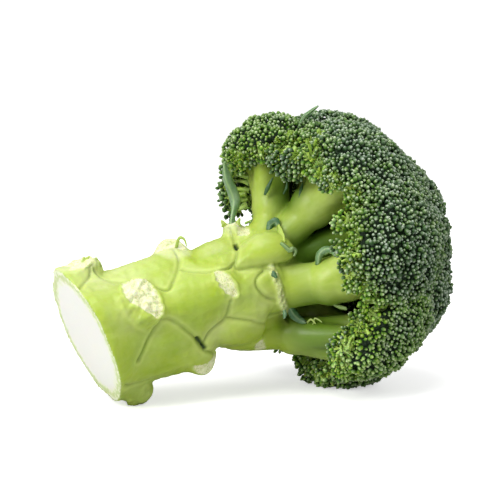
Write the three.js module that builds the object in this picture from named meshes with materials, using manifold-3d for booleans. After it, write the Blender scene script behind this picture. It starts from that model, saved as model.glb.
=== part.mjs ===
import * as THREE from "three";
import { ConvexHull } from "three/addons/math/ConvexHull.js";
import { mergeVertices } from "three/addons/utils/BufferGeometryUtils.js";
import Module from "manifold-3d";

// A head of broccoli, as cut, lying on its side. Millimetres and degrees, +Z up.
// The cut end of the stalk is towards -X, the crown towards +X, and -Y is its better side.
// A place on the stalk is its distance from the cut, its angle round the stalk (0 up, 90 towards
// -Y, 180 down) and its distance from the stalk's middle. A direction in the crown is the angle
// away from the stalk's line and the same angle round it.

// The stalk's line
const middleX = -73.1; // middle of the cut face; the box is centred on the origin
const middleY = -0.16;
const cutHeight = 28;
const axisTilt = 11;
const crownDistance = 107; // cut face to the middle of the crown
const crownLift = 10; // how far the stalk has bent up by there

// The crown
const hollowRadius = 50; // the space under the florets that the branches cross
const hollowBack = 8; // its middle lies this far behind the crown's
const branchEndRadius = 49.1;
const pieceGap = 0.35;
const budSpacing = 9.4;
const budRise = 3.2; // from the valley between buds to a bud's tip
const shoulderDrop = 0.8; // a bud's shoulder lies this far under its tip
const shoulderWidth = 0.64; // as a share of the way to the valley
const budLift = 0.8; // how much buds differ in height
const budJitter = 0.45; // how uneven their spacing is
const hexagonShare = Math.sqrt(3) / 2;
const creaseReach = 1.5; // buds go this far past a crease before it is cut
const seed = 20731;

const heads = [
  { name: "floret_top", away: 110, round: -13, lobe: 23.5, outer: 66.5 },
  { name: "floret_upper", away: 70, round: -4, lobe: 33, outer: 62 },
  { name: "floret_upper_front", away: 80, round: 36, lobe: 34, outer: 60.5 },
  { name: "floret_front", away: 78, round: 84, lobe: 33, outer: 59.5 },
  { name: "floret_lower_front", away: 90, round: 134, lobe: 29, outer: 61 },
  { name: "floret_bottom", away: 79, round: 180, lobe: 31, outer: 62.5 },
  { name: "floret_lower_back", away: 92, round: 225, lobe: 30, outer: 61 },
  { name: "floret_back", away: 80, round: 268, lobe: 32, outer: 59.5 },
  { name: "floret_upper_back", away: 92, round: 318, lobe: 20.5, outer: 62.5 },
  { name: "floret_inner_front", away: 36, round: 60, lobe: 36, outer: 58.5 },
  { name: "floret_inner_low", away: 38, round: 150, lobe: 36, outer: 58.5 },
  { name: "floret_inner_back", away: 38, round: 240, lobe: 36, outer: 58.5 },
  { name: "floret_inner_high", away: 40, round: 322, lobe: 36, outer: 58.5 },
  { name: "floret_tip", away: 0, round: 0, lobe: 36, outer: 57.5 },
];

// Branches: where each leaves the stalk, how thick it is there and under its floret.
// Those of the outer florets fork into twigs; the inner ones are hidden and stay plain.
const branches = [
  { head: "floret_top", from: 74, round: -2, out: 12, thick: 7.8, end: 7, twigs: 3 },
  { head: "floret_upper", from: 86, round: -10, out: 7, thick: 7, end: 8, twigs: 3 },
  { head: "floret_upper_front", from: 80, round: 38, out: 11, thick: 10, end: 12, twigs: 3 },
  { head: "floret_front", from: 78, round: 88, out: 12, thick: 9, end: 11, twigs: 3 },
  { head: "floret_lower_front", from: 58, round: 168, out: 15, thick: 9.5, end: 8, twigs: 3 },
  { head: "floret_bottom", from: 76, round: 186, out: 11, thick: 8, end: 9, twigs: 3 },
  { head: "floret_lower_back", from: 78, round: 228, out: 11, thick: 8, end: 9, twigs: 3 },
  { head: "floret_back", from: 82, round: 268, out: 11, thick: 9, end: 10, twigs: 3 },
  { head: "floret_upper_back", from: 80, round: 312, out: 12, thick: 6, end: 6, twigs: 3 },
  { head: "floret_inner_front", from: 92, round: 60, out: 4, thick: 7, end: 8, twigs: 0 },
  { head: "floret_inner_low", from: 92, round: 150, out: 4, thick: 7, end: 8, twigs: 0 },
  { head: "floret_inner_back", from: 92, round: 240, out: 4, thick: 7, end: 8, twigs: 0 },
  { head: "floret_inner_high", from: 92, round: 322, out: 4, thick: 7, end: 8, twigs: 0 },
  { head: "floret_tip", from: 94, round: 0, out: 0, thick: 8, end: 9, twigs: 0 },
];
const branchReach = 14; // how far along the stalk a branch still hugs it
const branchRise = 8;
const branchEndRun = 20; // the last stretch, straight at its floret
const branchFlatness = 0.25;
const outerLimb = { sides: 9, steps: 5 };
const innerLimb = { sides: 6, steps: 3 };
const twigLimb = { sides: 5, steps: 2 };
const forkAt = 0.62; // how far along a branch its twigs start
const twigSpread = 24; // degrees off the middle of the floret
const twigRadius = 2.3;
const twigBow = 3;

// Stalk: its radius at distances from the cut
const cutOverhang = 3; // the stalk runs this far past the middle that distances count from
const stalkEnd = 104;
const stalkRadii = [
  [-12, 26.4],
  [0, 26],
  [12, 24.6],
  [30, 23.6],
  [45, 23],
  [60, 22.2],
  [75, 21],
  [88, 17],
  [104, 9],
];
const cutSlope = 0.22; // the knife went through at a slant
const stalkSides = 32;
const stalkRings = 20;

// Leaf bases that clasp the stalk, with the stubs left where leaves were cut off
const leafBases = [
  { at: 6, round: -8, wide: 34, long: 22, high: 1.6, stub: { tall: 5.5, wide: 8, thick: 5, lean: -2 } },
  { at: 14, round: 166, wide: 30, long: 22, high: 2, stub: { tall: 9, wide: 6.5, thick: 5.5, lean: 0 } },
  { at: 24, round: 57, wide: 40, long: 32, high: 3, stub: { tall: 2.2, wide: 8, thick: 7, lean: 2 } },
  { at: 28, round: 285, wide: 40, long: 32, high: 2.4, stub: { tall: 3, wide: 8, thick: 5, lean: 2 } },
  { at: 34, round: 222, wide: 38, long: 30, high: 2.4, stub: { tall: 3, wide: 7, thick: 5, lean: 2 } },
  { at: 45, round: -8, wide: 42, long: 34, high: 2.6, stub: { tall: 4, wide: 7, thick: 5, lean: 3 } },
  { at: 44, round: 150, wide: 38, long: 30, high: 2.6, stub: { tall: 3.5, wide: 6.5, thick: 5, lean: 2 } },
  { at: 57, round: 67, wide: 42, long: 34, high: 2.2, stub: { tall: 1.2, wide: 6, thick: 6, lean: 2 } },
  { at: 58, round: 292, wide: 40, long: 30, high: 2.2, stub: { tall: 3, wide: 7, thick: 4, lean: 3 } },
  { at: 66, round: 232, wide: 38, long: 28, high: 2, stub: { tall: 2, wide: 6, thick: 4, lean: 3 } },
  { at: 72, round: -14, wide: 36, long: 30, high: 2.2, stub: { tall: 7, wide: 6, thick: 3.5, lean: 3 } },
  { at: 78, round: 92, wide: 42, long: 30, high: 2.4, stub: null },
  { at: 80, round: 168, wide: 36, long: 28, high: 1.8, stub: null },
  { at: 87, round: 36, wide: 36, long: 30, high: 2.4, stub: null },
];

// How much a leaf base thins from its scar down to its lower point, and how sharp its edges are
const baseLip = 0.12;
const baseTaper = 0.75;
const baseShoulder = 0.75;
const narrowestBase = 0.02;
const stubFoot = 5; // how deep a stub is sunk
const stubSides = 9;

// Leaves, each along its own midrib. X and Y are measured from the middle of the cut face.
const leafThickness = 1;
const leafGap = 0.4;
const leafGrid = { along: 6, across: 4 };
const leafWaves = 1.4; // edge waves along a leaf
const leafWaveHeight = 0.5;
const leaves = [
  {
    name: "leaf_long",
    rib: [[64.5, 3, 75], [62.5, 1.5, 82], [59.5, 0, 89], [57, -1.5, 97]],
    width: 8,
    cup: 2,
    face: [-1, -0.4, 0],
  },
  {
    name: "leaf_clasping",
    rib: [[74, -19, 71], [76.5, -25.5, 72], [79, -31.5, 67]],
    width: 9,
    cup: 2,
    face: [-0.7, -0.4, 0.6],
  },
  {
    name: "leaf_tip",
    rib: [[88.5, -6, 112.5], [90.5, -8.5, 117.5], [93.5, -11.5, 121.5]],
    width: 5,
    cup: 1,
    face: [0, -1, 0.4],
  },
  {
    name: "leaf_stub",
    rib: [[73.5, -10, 80], [74, -14, 85], [74.5, -17, 90]],
    width: 6,
    cup: 1.2,
    face: [0, -1, -0.4],
  },
];

const colours = {
  stalk: 0xa9c46a,
  buds: 0x3f5b38,
  leaf: 0x5d8a68,
};

const degree = Math.PI / 180;
const along = new THREE.Vector3(Math.cos(axisTilt * degree), 0, Math.sin(axisTilt * degree));
const upright = new THREE.Vector3(-Math.sin(axisTilt * degree), 0, Math.cos(axisTilt * degree));
const sideways = new THREE.Vector3(0, -1, 0);
const cutMiddle = new THREE.Vector3(middleX, middleY, cutHeight);

// A unit vector straight out from the stalk
function outward(round) {
  const angle = round * degree;
  return upright.clone().multiplyScalar(Math.cos(angle)).addScaledVector(sideways, Math.sin(angle));
}

// A place on or in the stalk, which bends up a little towards the crown
function place(distance, round, radius) {
  const lift = crownLift * (distance / crownDistance) ** 2;
  return cutMiddle.clone()
    .addScaledVector(along, distance)
    .addScaledVector(upright, lift)
    .addScaledVector(outward(round), radius);
}

const crownMiddle = place(crownDistance, 0, 0);
const hollowMiddle = crownMiddle.clone().addScaledVector(along, -hollowBack);

function crownDirection(away, round) {
  const angle = away * degree;
  return along.clone().multiplyScalar(Math.cos(angle)).addScaledVector(outward(round), Math.sin(angle));
}

// Repeatable random numbers from 0 to 1
function randomSource(start) {
  let state = start;
  return () => {
    state = (state + 0x6d2b79f5) | 0;
    let mixed = Math.imul(state ^ (state >>> 15), 1 | state);
    mixed = (mixed + Math.imul(mixed ^ (mixed >>> 7), 61 | mixed)) ^ mixed;
    return ((mixed ^ (mixed >>> 14)) >>> 0) / 4294967296;
  };
}

const wasm = await Module();
wasm.setup();

function solidFrom(geometry) {
  geometry.deleteAttribute("normal");
  geometry.deleteAttribute("uv");
  const merged = mergeVertices(geometry, 1e-4);
  const mesh = new wasm.Mesh({
    numProp: 3,
    vertProperties: new Float32Array(merged.attributes.position.array),
    triVerts: new Uint32Array(merged.index.array),
  });
  return new wasm.Manifold(mesh);
}

// Only the largest lump is kept, so that no loose scrap of a cut bud is left
function largestPiece(solid) {
  return solid.decompose().reduce((best, piece) => (piece.volume() > best.volume() ? piece : best));
}

function meshFrom(solid, name, colour, roughness) {
  const { vertProperties, triVerts } = solid.getMesh();
  const geometry = new THREE.BufferGeometry();
  geometry.setAttribute("position", new THREE.BufferAttribute(new Float32Array(vertProperties), 3));
  geometry.setIndex(new THREE.BufferAttribute(new Uint32Array(triVerts), 1));
  geometry.computeVertexNormals();
  const material = new THREE.MeshStandardMaterial({ color: colour, roughness, metalness: 0 });
  const mesh = new THREE.Mesh(geometry, material);
  mesh.name = name;
  return mesh;
}

// Moves every point of a geometry by a rule
function reshape(geometry, rule) {
  const positions = geometry.attributes.position;
  const point = new THREE.Vector3();
  for (let index = 0; index < positions.count; index += 1) {
    point.fromBufferAttribute(positions, index);
    const moved = rule(point);
    positions.setXYZ(index, moved.x, moved.y, moved.z);
  }
  return geometry;
}

// A tapered limb along a curve. The section is an oval: across is its wide way.
// No limb reaches past the hollow under the florets.
function limb(curve, sizeAt, across, { sides, steps }, isInCrown = true) {
  const cylinder = new THREE.CylinderGeometry(1, 1, 1, sides, steps);
  return solidFrom(reshape(cylinder, (point) => {
    const travel = point.y + 0.5;
    const tangent = curve.getTangentAt(travel);
    const wide = across.clone().addScaledVector(tangent, -across.dot(tangent)).normalize();
    const thick = wide.clone().cross(tangent);
    const [wideSize, thickSize] = sizeAt(travel);
    const moved = curve.getPointAt(travel)
      .addScaledVector(wide, point.x * wideSize)
      .addScaledVector(thick, point.z * thickSize);
    if (!isInCrown) {
      return moved;
    }
    return moved.sub(hollowMiddle).clampLength(0, branchEndRadius).add(hollowMiddle);
  }));
}

function lerpTable(table, value) {
  const last = table.length - 1;
  if (value <= table[0][0]) {
    return table[0][1];
  }
  for (let row = 1; row <= last; row += 1) {
    const [start, startValue] = table[row - 1];
    const [end, endValue] = table[row];
    if (value <= end) {
      return THREE.MathUtils.mapLinear(value, start, end, startValue, endValue);
    }
  }
  return table[last][1];
}

// How far a leaf base stands proud of the stalk: highest at its scar, thinning to a point below it
function leafBaseHeight(base, distance, round) {
  const below = (base.at - distance) / base.long;
  if (below > 1 || below < -baseLip) {
    return 0;
  }
  const lip = THREE.MathUtils.smoothstep(below, -baseLip, 0);
  const width = base.wide * Math.sqrt(Math.max(1 - below, narrowestBase));
  const turn = Math.abs(THREE.MathUtils.euclideanModulo(round - base.round + 180, 360) - 180);
  const edge = 1 - THREE.MathUtils.smoothstep(turn / width, baseShoulder, 1);
  return base.high * lip * edge * (1 - baseTaper * Math.max(below, 0));
}

function stalkRadius(distance, round) {
  const heights = leafBases.map((base) => leafBaseHeight(base, distance, round));
  return lerpTable(stalkRadii, distance) + Math.max(...heights);
}

function stalkBody() {
  const cylinder = new THREE.CylinderGeometry(1, 1, 1, stalkSides, stalkRings);
  return solidFrom(reshape(cylinder, (point) => {
    const travel = point.y + 0.5;
    const round = Math.atan2(point.x, point.z) / degree;
    const spread = Math.hypot(point.x, point.z);
    const rim = lerpTable(stalkRadii, 0);
    const slant = -cutSlope * rim * Math.cos(round * degree) * spread * (1 - travel) ** 3;
    const distance = travel * stalkEnd - cutOverhang * (1 - travel) + slant;
    return place(distance, round, spread * stalkRadius(distance, round));
  }));
}

// The stump of a leaf's stalk, sunk into the leaf base under it
function stubSolid(base) {
  const { tall, wide, thick, lean } = base.stub;
  const footAt = base.at - 4;
  const skin = stalkRadius(base.at - 3, base.round);
  const curve = new THREE.LineCurve3(
    place(footAt, base.round, skin - stubFoot),
    place(footAt + 3 + lean, base.round, skin + tall),
  );
  const across = outward(base.round + 90);
  return limb(curve, (travel) => {
    const flare = 1.25 - 0.3 * travel;
    return [wide * flare, thick * flare];
  }, across, { sides: stubSides, steps: 1 }, false);
}

// From the middle of the hollow towards a floret
function branchDirection(head) {
  return headMiddle(head).sub(hollowMiddle).normalize();
}

function branchCurve(branch, head) {
  const direction = branchDirection(head);
  const end = hollowMiddle.clone().addScaledVector(direction, branchEndRadius);
  const before = hollowMiddle.clone().addScaledVector(direction, branchEndRadius - branchEndRun);
  return new THREE.CubicBezierCurve3(
    place(branch.from, branch.round, branch.out),
    place(branch.from + branchReach, branch.round, branch.out + branchRise),
    before,
    end,
  );
}

// The wide way of a limb that runs in a direction: round the crown, or sideways at its very tip
function acrossOf(direction) {
  const across = direction.clone().cross(along);
  return across.length() > 0.1 ? across.normalize() : sideways.clone();
}

function branchSolids(branch) {
  const head = heads.find((one) => one.name === branch.head);
  const curve = branchCurve(branch, head);
  const direction = branchDirection(head);
  const across = acrossOf(direction);
  const sizeAt = (travel) => {
    const size = THREE.MathUtils.lerp(branch.thick, branch.end, travel ** 2);
    return [size, size * (1 - branchFlatness * travel)];
  };
  const solids = [limb(curve, sizeAt, across, branch.twigs > 0 ? outerLimb : innerLimb)];
  // Twigs fan out from the branch to the underside of its floret
  for (let index = 0; index < branch.twigs; index += 1) {
    const turn = ((index + 0.5) / branch.twigs) * 360;
    const tip = twigTip(head, turn);
    const foot = curve.getPointAt(forkAt);
    const bend = foot.clone().lerp(tip, 0.5).addScaledVector(direction, twigBow);
    const twig = new THREE.QuadraticBezierCurve3(foot, bend, tip);
    solids.push(limb(twig, (travel) => {
      const size = twigRadius * (1.9 - 0.9 * travel);
      return [size, size];
    }, across, twigLimb));
  }
  return solids;
}

// A point on the underside of a floret, some way off its middle
function twigTip(head, turn) {
  const direction = branchDirection(head);
  const first = direction.clone().cross(along).normalize();
  const second = direction.clone().cross(first);
  const tilted = direction.clone().multiplyScalar(Math.cos(twigSpread * degree))
    .addScaledVector(first, Math.sin(twigSpread * degree) * Math.cos(turn * degree))
    .addScaledVector(second, Math.sin(twigSpread * degree) * Math.sin(turn * degree));
  return hollowMiddle.clone().addScaledVector(tilted, branchEndRadius);
}

function tableBlock() {
  const size = 400;
  const block = new THREE.BoxGeometry(size, size, size);
  block.translate(0, 0, -size / 2);
  return solidFrom(block);
}

function stalkSolid() {
  let solid = stalkBody();
  leafBases.filter((base) => base.stub).forEach((base) => {
    solid = solid.add(stubSolid(base));
  });
  branches.forEach((branch) => {
    branchSolids(branch).forEach((part) => {
      solid = solid.add(part);
    });
  });
  return largestPiece(solid.subtract(tableBlock()));
}

function headMiddle(head) {
  return crownMiddle.clone().addScaledVector(crownDirection(head.away, head.round), head.outer - head.lobe);
}

// Less than zero inside the head's own ball; the smaller value owns a point
function ballValue(head, point) {
  return point.distanceToSquared(headMiddle(head)) - head.lobe ** 2;
}

// Evenly spread directions over a whole ball
function spreadDirections(count, random) {
  const golden = Math.PI * (3 - Math.sqrt(5));
  const spin = random() * Math.PI * 2;
  return Array.from({ length: count }, (_, index) => {
    const height = 1 - (2 * index + 1) / count;
    const radius = Math.sqrt(1 - height * height);
    const angle = index * golden + spin;
    const jitter = () => (random() - 0.5) * budJitter * Math.sqrt(4 / count);
    return new THREE.Vector3(
      radius * Math.cos(angle) + jitter(),
      radius * Math.sin(angle) + jitter(),
      height + jitter(),
    ).normalize();
  });
}

// The cell round each direction, as a ring of corners shared with its neighbours
function cellsAround(directions) {
  const hull = new ConvexHull().setFromPoints(directions);
  const numbers = new Map(directions.map((direction, index) => [direction, index]));
  const corners = [];
  const turns = directions.map(() => new Map());
  hull.faces.forEach((face) => {
    const ring = [face.edge.head().point, face.edge.next.head().point, face.edge.next.next.head().point];
    const corner = ring[0].clone().add(ring[1]).add(ring[2]).normalize();
    corners.push(corner);
    ring.forEach((point, side) => {
      const from = numbers.get(ring[(side + 1) % 3]);
      const to = numbers.get(ring[(side + 2) % 3]);
      turns[numbers.get(point)].set(from, { to, corner: corners.length - 1 });
    });
  });
  const rings = turns.map((links) => {
    const ring = [];
    const start = links.keys().next().value;
    let at = start;
    do {
      const link = links.get(at);
      ring.push(link.corner);
      at = link.to;
    } while (at !== start);
    return ring;
  });
  return { corners, rings };
}

// A ball set with buds where it shows, and plain where its neighbours or the hollow cover it
function buddedBall(head, random) {
  const count = Math.round((4 * Math.PI * head.lobe ** 2) / (hexagonShare * budSpacing ** 2));
  const directions = spreadDirections(count, random);
  const { corners, rings } = cellsAround(directions);
  const middle = headMiddle(head);
  const points = corners.map((corner) => middle.clone().addScaledVector(corner, head.lobe - budRise));
  const triangles = [];
  const addPoint = (direction, radius) => {
    points.push(middle.clone().addScaledVector(direction, radius));
    return points.length - 1;
  };
  const shows = (direction) => {
    const point = middle.clone().addScaledVector(direction, head.lobe);
    const own = ballValue(head, point);
    return point.distanceTo(hollowMiddle) > hollowRadius + 1
      && heads.every((other) => {
        const reach = 2 * creaseReach * headMiddle(other).distanceTo(middle);
        return other === head || ballValue(other, point) > own - reach;
      });
  };
  rings.forEach((ring, index) => {
    const direction = directions[index];
    const lift = (random() - 0.5) * budLift;
    const isBud = shows(direction);
    const peak = addPoint(direction, head.lobe + (isBud ? lift : -budRise));
    const shoulder = (corner) => addPoint(
      direction.clone().lerp(corners[corner], shoulderWidth).normalize(),
      head.lobe - shoulderDrop + lift,
    );
    const shoulders = isBud ? ring.map(shoulder) : [];
    ring.forEach((corner, side) => {
      const after = (side + 1) % ring.length;
      if (!isBud) {
        triangles.push(peak, corner, ring[after]);
        return;
      }
      triangles.push(peak, shoulders[side], shoulders[after]);
      triangles.push(shoulders[side], corner, ring[after]);
      triangles.push(shoulders[side], ring[after], shoulders[after]);
    });
  });
  const geometry = new THREE.BufferGeometry().setFromPoints(points);
  geometry.setIndex(triangles);
  return solidFrom(geometry);
}

// Everything on the neighbour's side of the crease between two heads
function neighbourBlock(head, other) {
  const size = 240;
  const from = headMiddle(head);
  const step = headMiddle(other).sub(from);
  const distance = step.length();
  const normal = step.normalize();
  const crease = (distance ** 2 + head.lobe ** 2 - other.lobe ** 2) / (2 * distance);
  const block = new THREE.BoxGeometry(size, size, size);
  block.applyQuaternion(new THREE.Quaternion().setFromUnitVectors(new THREE.Vector3(0, 0, 1), normal));
  const middle = from.addScaledVector(normal, crease - pieceGap / 2 + size / 2);
  block.translate(middle.x, middle.y, middle.z);
  return solidFrom(block);
}

function hollowBall() {
  const ball = new THREE.IcosahedronGeometry(hollowRadius, 4);
  ball.translate(hollowMiddle.x, hollowMiddle.y, hollowMiddle.z);
  return solidFrom(ball);
}

function headSolid(head, random, hollow, table) {
  let solid = buddedBall(head, random);
  heads.forEach((other) => {
    const isNear = other !== head && headMiddle(head).distanceTo(headMiddle(other)) < head.lobe + other.lobe;
    if (isNear) {
      solid = solid.subtract(neighbourBlock(head, other));
    }
  });
  return largestPiece(solid.subtract(hollow).subtract(table));
}

// A leaf is narrow at its foot, widest past its middle and blunt at its tip
function leafWidth(leaf, travel) {
  return leaf.width * (0.25 + 0.75 * Math.sin(Math.PI * (0.15 + 0.75 * travel)));
}

// A thin cupped leaf with a waved edge, along its midrib
function leafSolid(leaf, neighbours) {
  const points = leaf.rib.map(([x, y, z]) => new THREE.Vector3(x + middleX, y + middleY, z));
  const rib = new THREE.CatmullRomCurve3(points);
  const facing = new THREE.Vector3(...leaf.face).normalize();
  const sheet = new THREE.BoxGeometry(1, 1, 1, leafGrid.along, leafGrid.across, 1);
  const blade = solidFrom(reshape(sheet, (point) => {
    const travel = point.x + 0.5;
    const side = 2 * point.y;
    const tangent = rib.getTangentAt(travel);
    const across = facing.clone().cross(tangent).normalize();
    const normal = tangent.clone().cross(across).normalize();
    const wave = leafWaveHeight * Math.sin(2 * Math.PI * leafWaves * travel) * side ** 3;
    return rib.getPointAt(travel)
      .addScaledVector(across, side * leafWidth(leaf, travel) / 2)
      .addScaledVector(normal, wave - leaf.cup * side ** 2 + point.z * leafThickness);
  }));
  // Cut back from all that it grows from or lies on, and from the same moved a gap's width each way
  const outwards = rib.getPointAt(1).sub(rib.getPointAt(0)).setLength(leafGap);
  const ahead = facing.clone().setLength(leafGap);
  const shifts = [new THREE.Vector3(), outwards, ahead, ahead.clone().negate()];
  const clear = neighbours.reduce((solid, other) => shifts.reduce(
    (rest, shift) => rest.subtract(other.translate(shift.toArray())),
    solid,
  ), blade);
  return largestPiece(clear);
}

const random = randomSource(seed);
const hollow = hollowBall();
const table = tableBlock();
const stalk = stalkSolid();
const headSolids = heads.map((head) => headSolid(head, random, hollow, table));

const group = new THREE.Group();
group.add(meshFrom(stalk, "stalk", colours.stalk, 0.55));
heads.forEach((head, index) => {
  group.add(meshFrom(headSolids[index], head.name, colours.buds, 0.7));
});
leaves.forEach((leaf) => {
  group.add(meshFrom(leafSolid(leaf, [stalk, ...headSolids]), leaf.name, colours.leaf, 0.5));
});

export default group;
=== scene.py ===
import math

import bpy
import numpy as np
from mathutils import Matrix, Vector


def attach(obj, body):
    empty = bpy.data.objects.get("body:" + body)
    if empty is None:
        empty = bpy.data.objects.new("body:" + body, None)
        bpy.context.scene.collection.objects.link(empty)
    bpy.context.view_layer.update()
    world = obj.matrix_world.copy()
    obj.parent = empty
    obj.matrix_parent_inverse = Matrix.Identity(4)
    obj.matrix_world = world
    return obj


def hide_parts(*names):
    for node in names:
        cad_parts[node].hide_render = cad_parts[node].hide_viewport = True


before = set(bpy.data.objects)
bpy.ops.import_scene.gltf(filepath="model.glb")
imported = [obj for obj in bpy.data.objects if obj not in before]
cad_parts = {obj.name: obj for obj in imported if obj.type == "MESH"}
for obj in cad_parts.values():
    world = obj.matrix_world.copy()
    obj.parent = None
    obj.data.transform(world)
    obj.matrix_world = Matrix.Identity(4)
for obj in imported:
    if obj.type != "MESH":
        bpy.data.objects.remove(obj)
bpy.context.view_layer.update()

# Everything below is worked out in millimetres from the middle of the cut end, 28 mm below it
# on the table, and shifted to the frame's middle when a mesh is made
layout = {
    "shift": (-73.1, -0.16, 0.0),
    "cutHeight": 28.0,
    "axisTilt": 11.0,
    "crownDistance": 107.0,
    "crownLift": 10.0,
    "hollowBack": 8.0,  # the middle of the hollow under the florets, back from the crown's middle
    "seed": 20731,
}

# name: away from the stalk's axis, round it, radius of the ball, how far out it reaches
florets = {
    "floret_top": (105, -12, 20.5, 65.8),
    "floret_upper": (70, -4, 33, 62),
    "floret_upper_front": (77.5, 36, 33, 60.5),
    "floret_front": (77, 84, 33, 59.5),
    "floret_lower_front": (86, 134, 29, 62.5),
    "floret_bottom": (81, 180, 29.2, 63.2),
    "floret_lower_back": (90, 225, 28.8, 58.5),
    "floret_back": (80, 268, 32, 59.5),
    "floret_upper_back": (92, 318, 20.5, 62.5),
    "floret_inner_front": (36, 60, 36, 57.6),
    "floret_inner_low": (41, 156, 36, 60.5),
    "floret_inner_back": (38, 240, 36, 58.5),
    "floret_inner_high": (40, 322, 36, 57.0),
    "floret_tip": (0, 0, 36, 56.4),
}

tilt = math.radians(layout["axisTilt"])
along = np.array([math.cos(tilt), 0.0, math.sin(tilt)])
upright = np.array([-math.sin(tilt), 0.0, math.cos(tilt)])
sideways = np.array([0.0, -1.0, 0.0])
cutMiddle = np.array([0.0, 0.0, layout["cutHeight"]])


def unit(vectors):
    vectors = np.asarray(vectors, float)
    return vectors / np.maximum(np.linalg.norm(vectors, axis=-1, keepdims=True), 1e-9)


def outward(turn):
    turn = np.radians(turn)
    return np.cos(turn)[..., None] * upright + np.sin(turn)[..., None] * sideways


def turnBetween(turn, middle):
    # The turn in degrees from the middle, the short way round
    return (turn - middle + 180) % 360 - 180


def ramp(value, start, over):
    # 0 at the start and 1 where the value is past it by over, which is below zero to count downwards
    return np.clip((value - start) / over, 0, 1)


def eased(share):
    return share * share * (3 - 2 * share)


def wayOut(away, turn):
    # A direction by its angle from the stalk's axis and its turn round it
    away = math.radians(away)
    return math.cos(away) * along + math.sin(away) * outward(float(turn))


def place(distance, turn, radius):
    # A point by its distance along the stalk, its turn round it (0 up, 90 towards the viewer)
    distance, turn, radius = (np.asarray(value, float) for value in (distance, turn, radius))
    lift = layout["crownLift"] * (distance / layout["crownDistance"]) ** 2
    return (
        cutMiddle
        + distance[..., None] * along
        + lift[..., None] * upright
        + radius[..., None] * outward(turn)
    )


def stalkCoordinates(points):
    # The other way round: along the stalk, up and towards the viewer from its middle
    away = points - cutMiddle
    distance = away @ along
    lift = layout["crownLift"] * (distance / layout["crownDistance"]) ** 2
    return distance, away @ upright - lift, away @ sideways


crownMiddle = place(layout["crownDistance"], 0, 0)
hollowMiddle = crownMiddle - layout["hollowBack"] * along


def headMiddle(name):
    away, turn, ball, reach = florets[name]
    return crownMiddle + wayOut(away, turn) * (reach - ball)


# Mesh helpers


def makePiece(name, points, faces, masks, material, nodes=()):
    # Points in millimetres, faces as a list of index arrays, masks as one value or colour a point
    mesh = bpy.data.meshes.new(name)
    placed = (np.asarray(points) + np.array(layout["shift"])) * 0.001
    mesh.vertices.add(len(placed))
    mesh.vertices.foreach_set("co", placed.astype(np.float32).ravel())
    faces = [np.asarray(group, np.int32) for group in faces if len(group)]
    corners = np.concatenate([group.ravel() for group in faces])
    sizes = np.concatenate([np.full(len(group), group.shape[1]) for group in faces])
    mesh.loops.add(len(corners))
    mesh.loops.foreach_set("vertex_index", corners)
    mesh.polygons.add(len(sizes))
    starts = np.concatenate([[0], np.cumsum(sizes)[:-1]]).astype(np.int32)
    mesh.polygons.foreach_set("loop_start", starts)
    mesh.polygons.foreach_set("use_smooth", np.ones(len(sizes), bool))
    mesh.update(calc_edges=True)
    mesh.validate()
    for mask, values in masks.items():
        values = np.asarray(values, np.float32)
        if values.ndim == 1:
            layer = mesh.attributes.new(mask, "FLOAT", "POINT")
            layer.data.foreach_set("value", values)
        else:
            layer = mesh.attributes.new(mask, "FLOAT_VECTOR", "POINT")
            layer.data.foreach_set("vector", values.ravel())
    mesh.materials.append(material)
    piece = bpy.data.objects.new(name, mesh)
    bpy.context.scene.collection.objects.link(piece)
    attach(piece, "root")
    if nodes:
        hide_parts(*nodes)
    return piece


def mergeParts(parts):
    # Joins (points, faces, masks) parts into one
    points, faces, masks, start = [], [], {}, 0
    for partPoints, partFaces, partMasks in parts:
        points.append(partPoints)
        faces += [np.asarray(group) + start for group in partFaces if len(group)]
        for mask, values in partMasks.items():
            masks.setdefault(mask, []).append(values)
        start += len(partPoints)
    return np.concatenate(points), faces, {m: np.concatenate(v) for m, v in masks.items()}


def bezier(controls, steps):
    travel = np.linspace(0, 1, steps)[:, None]
    rest = 1 - travel
    if len(controls) == 3:
        a, b, c = controls
        return rest**2 * a + 2 * rest * travel * b + travel**2 * c
    a, b, c, d = controls
    return rest**3 * a + 3 * rest**2 * travel * b + 3 * rest * travel**2 * c + travel**3 * d


def smoothThrough(points, steps):
    # A smooth line through the points
    points = np.asarray(points, float)
    padded = np.vstack([2 * points[0] - points[1], points, 2 * points[-1] - points[-2]])
    travel = np.linspace(0, len(points) - 1, steps)
    index = np.minimum(travel.astype(int), len(points) - 2)
    t = (travel - index)[:, None]
    a, b, c, d = (padded[index + offset] for offset in range(4))
    return 0.5 * (2 * b + (c - a) * t + (2 * a - 5 * b + 4 * c - d) * t**2 + (3 * b - a - 3 * c + d) * t**3)


def ringQuads(rows, sides):
    # Faces between rows of points that each go round once
    row = np.arange(rows - 1)[:, None] * sides
    side = np.arange(sides)[None]
    following = (side + 1) % sides
    quads = np.stack([row + side, row + following, row + following + sides, row + side + sides], -1)
    return quads.reshape(-1, 4)


def tipFaces(rows, sides):
    # Faces from the last row to one point that follows it
    side = np.arange(sides)
    last = (rows - 1) * sides
    return np.stack([last + side, last + (side + 1) % sides, np.full(sides, rows * sides)], -1)


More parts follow.
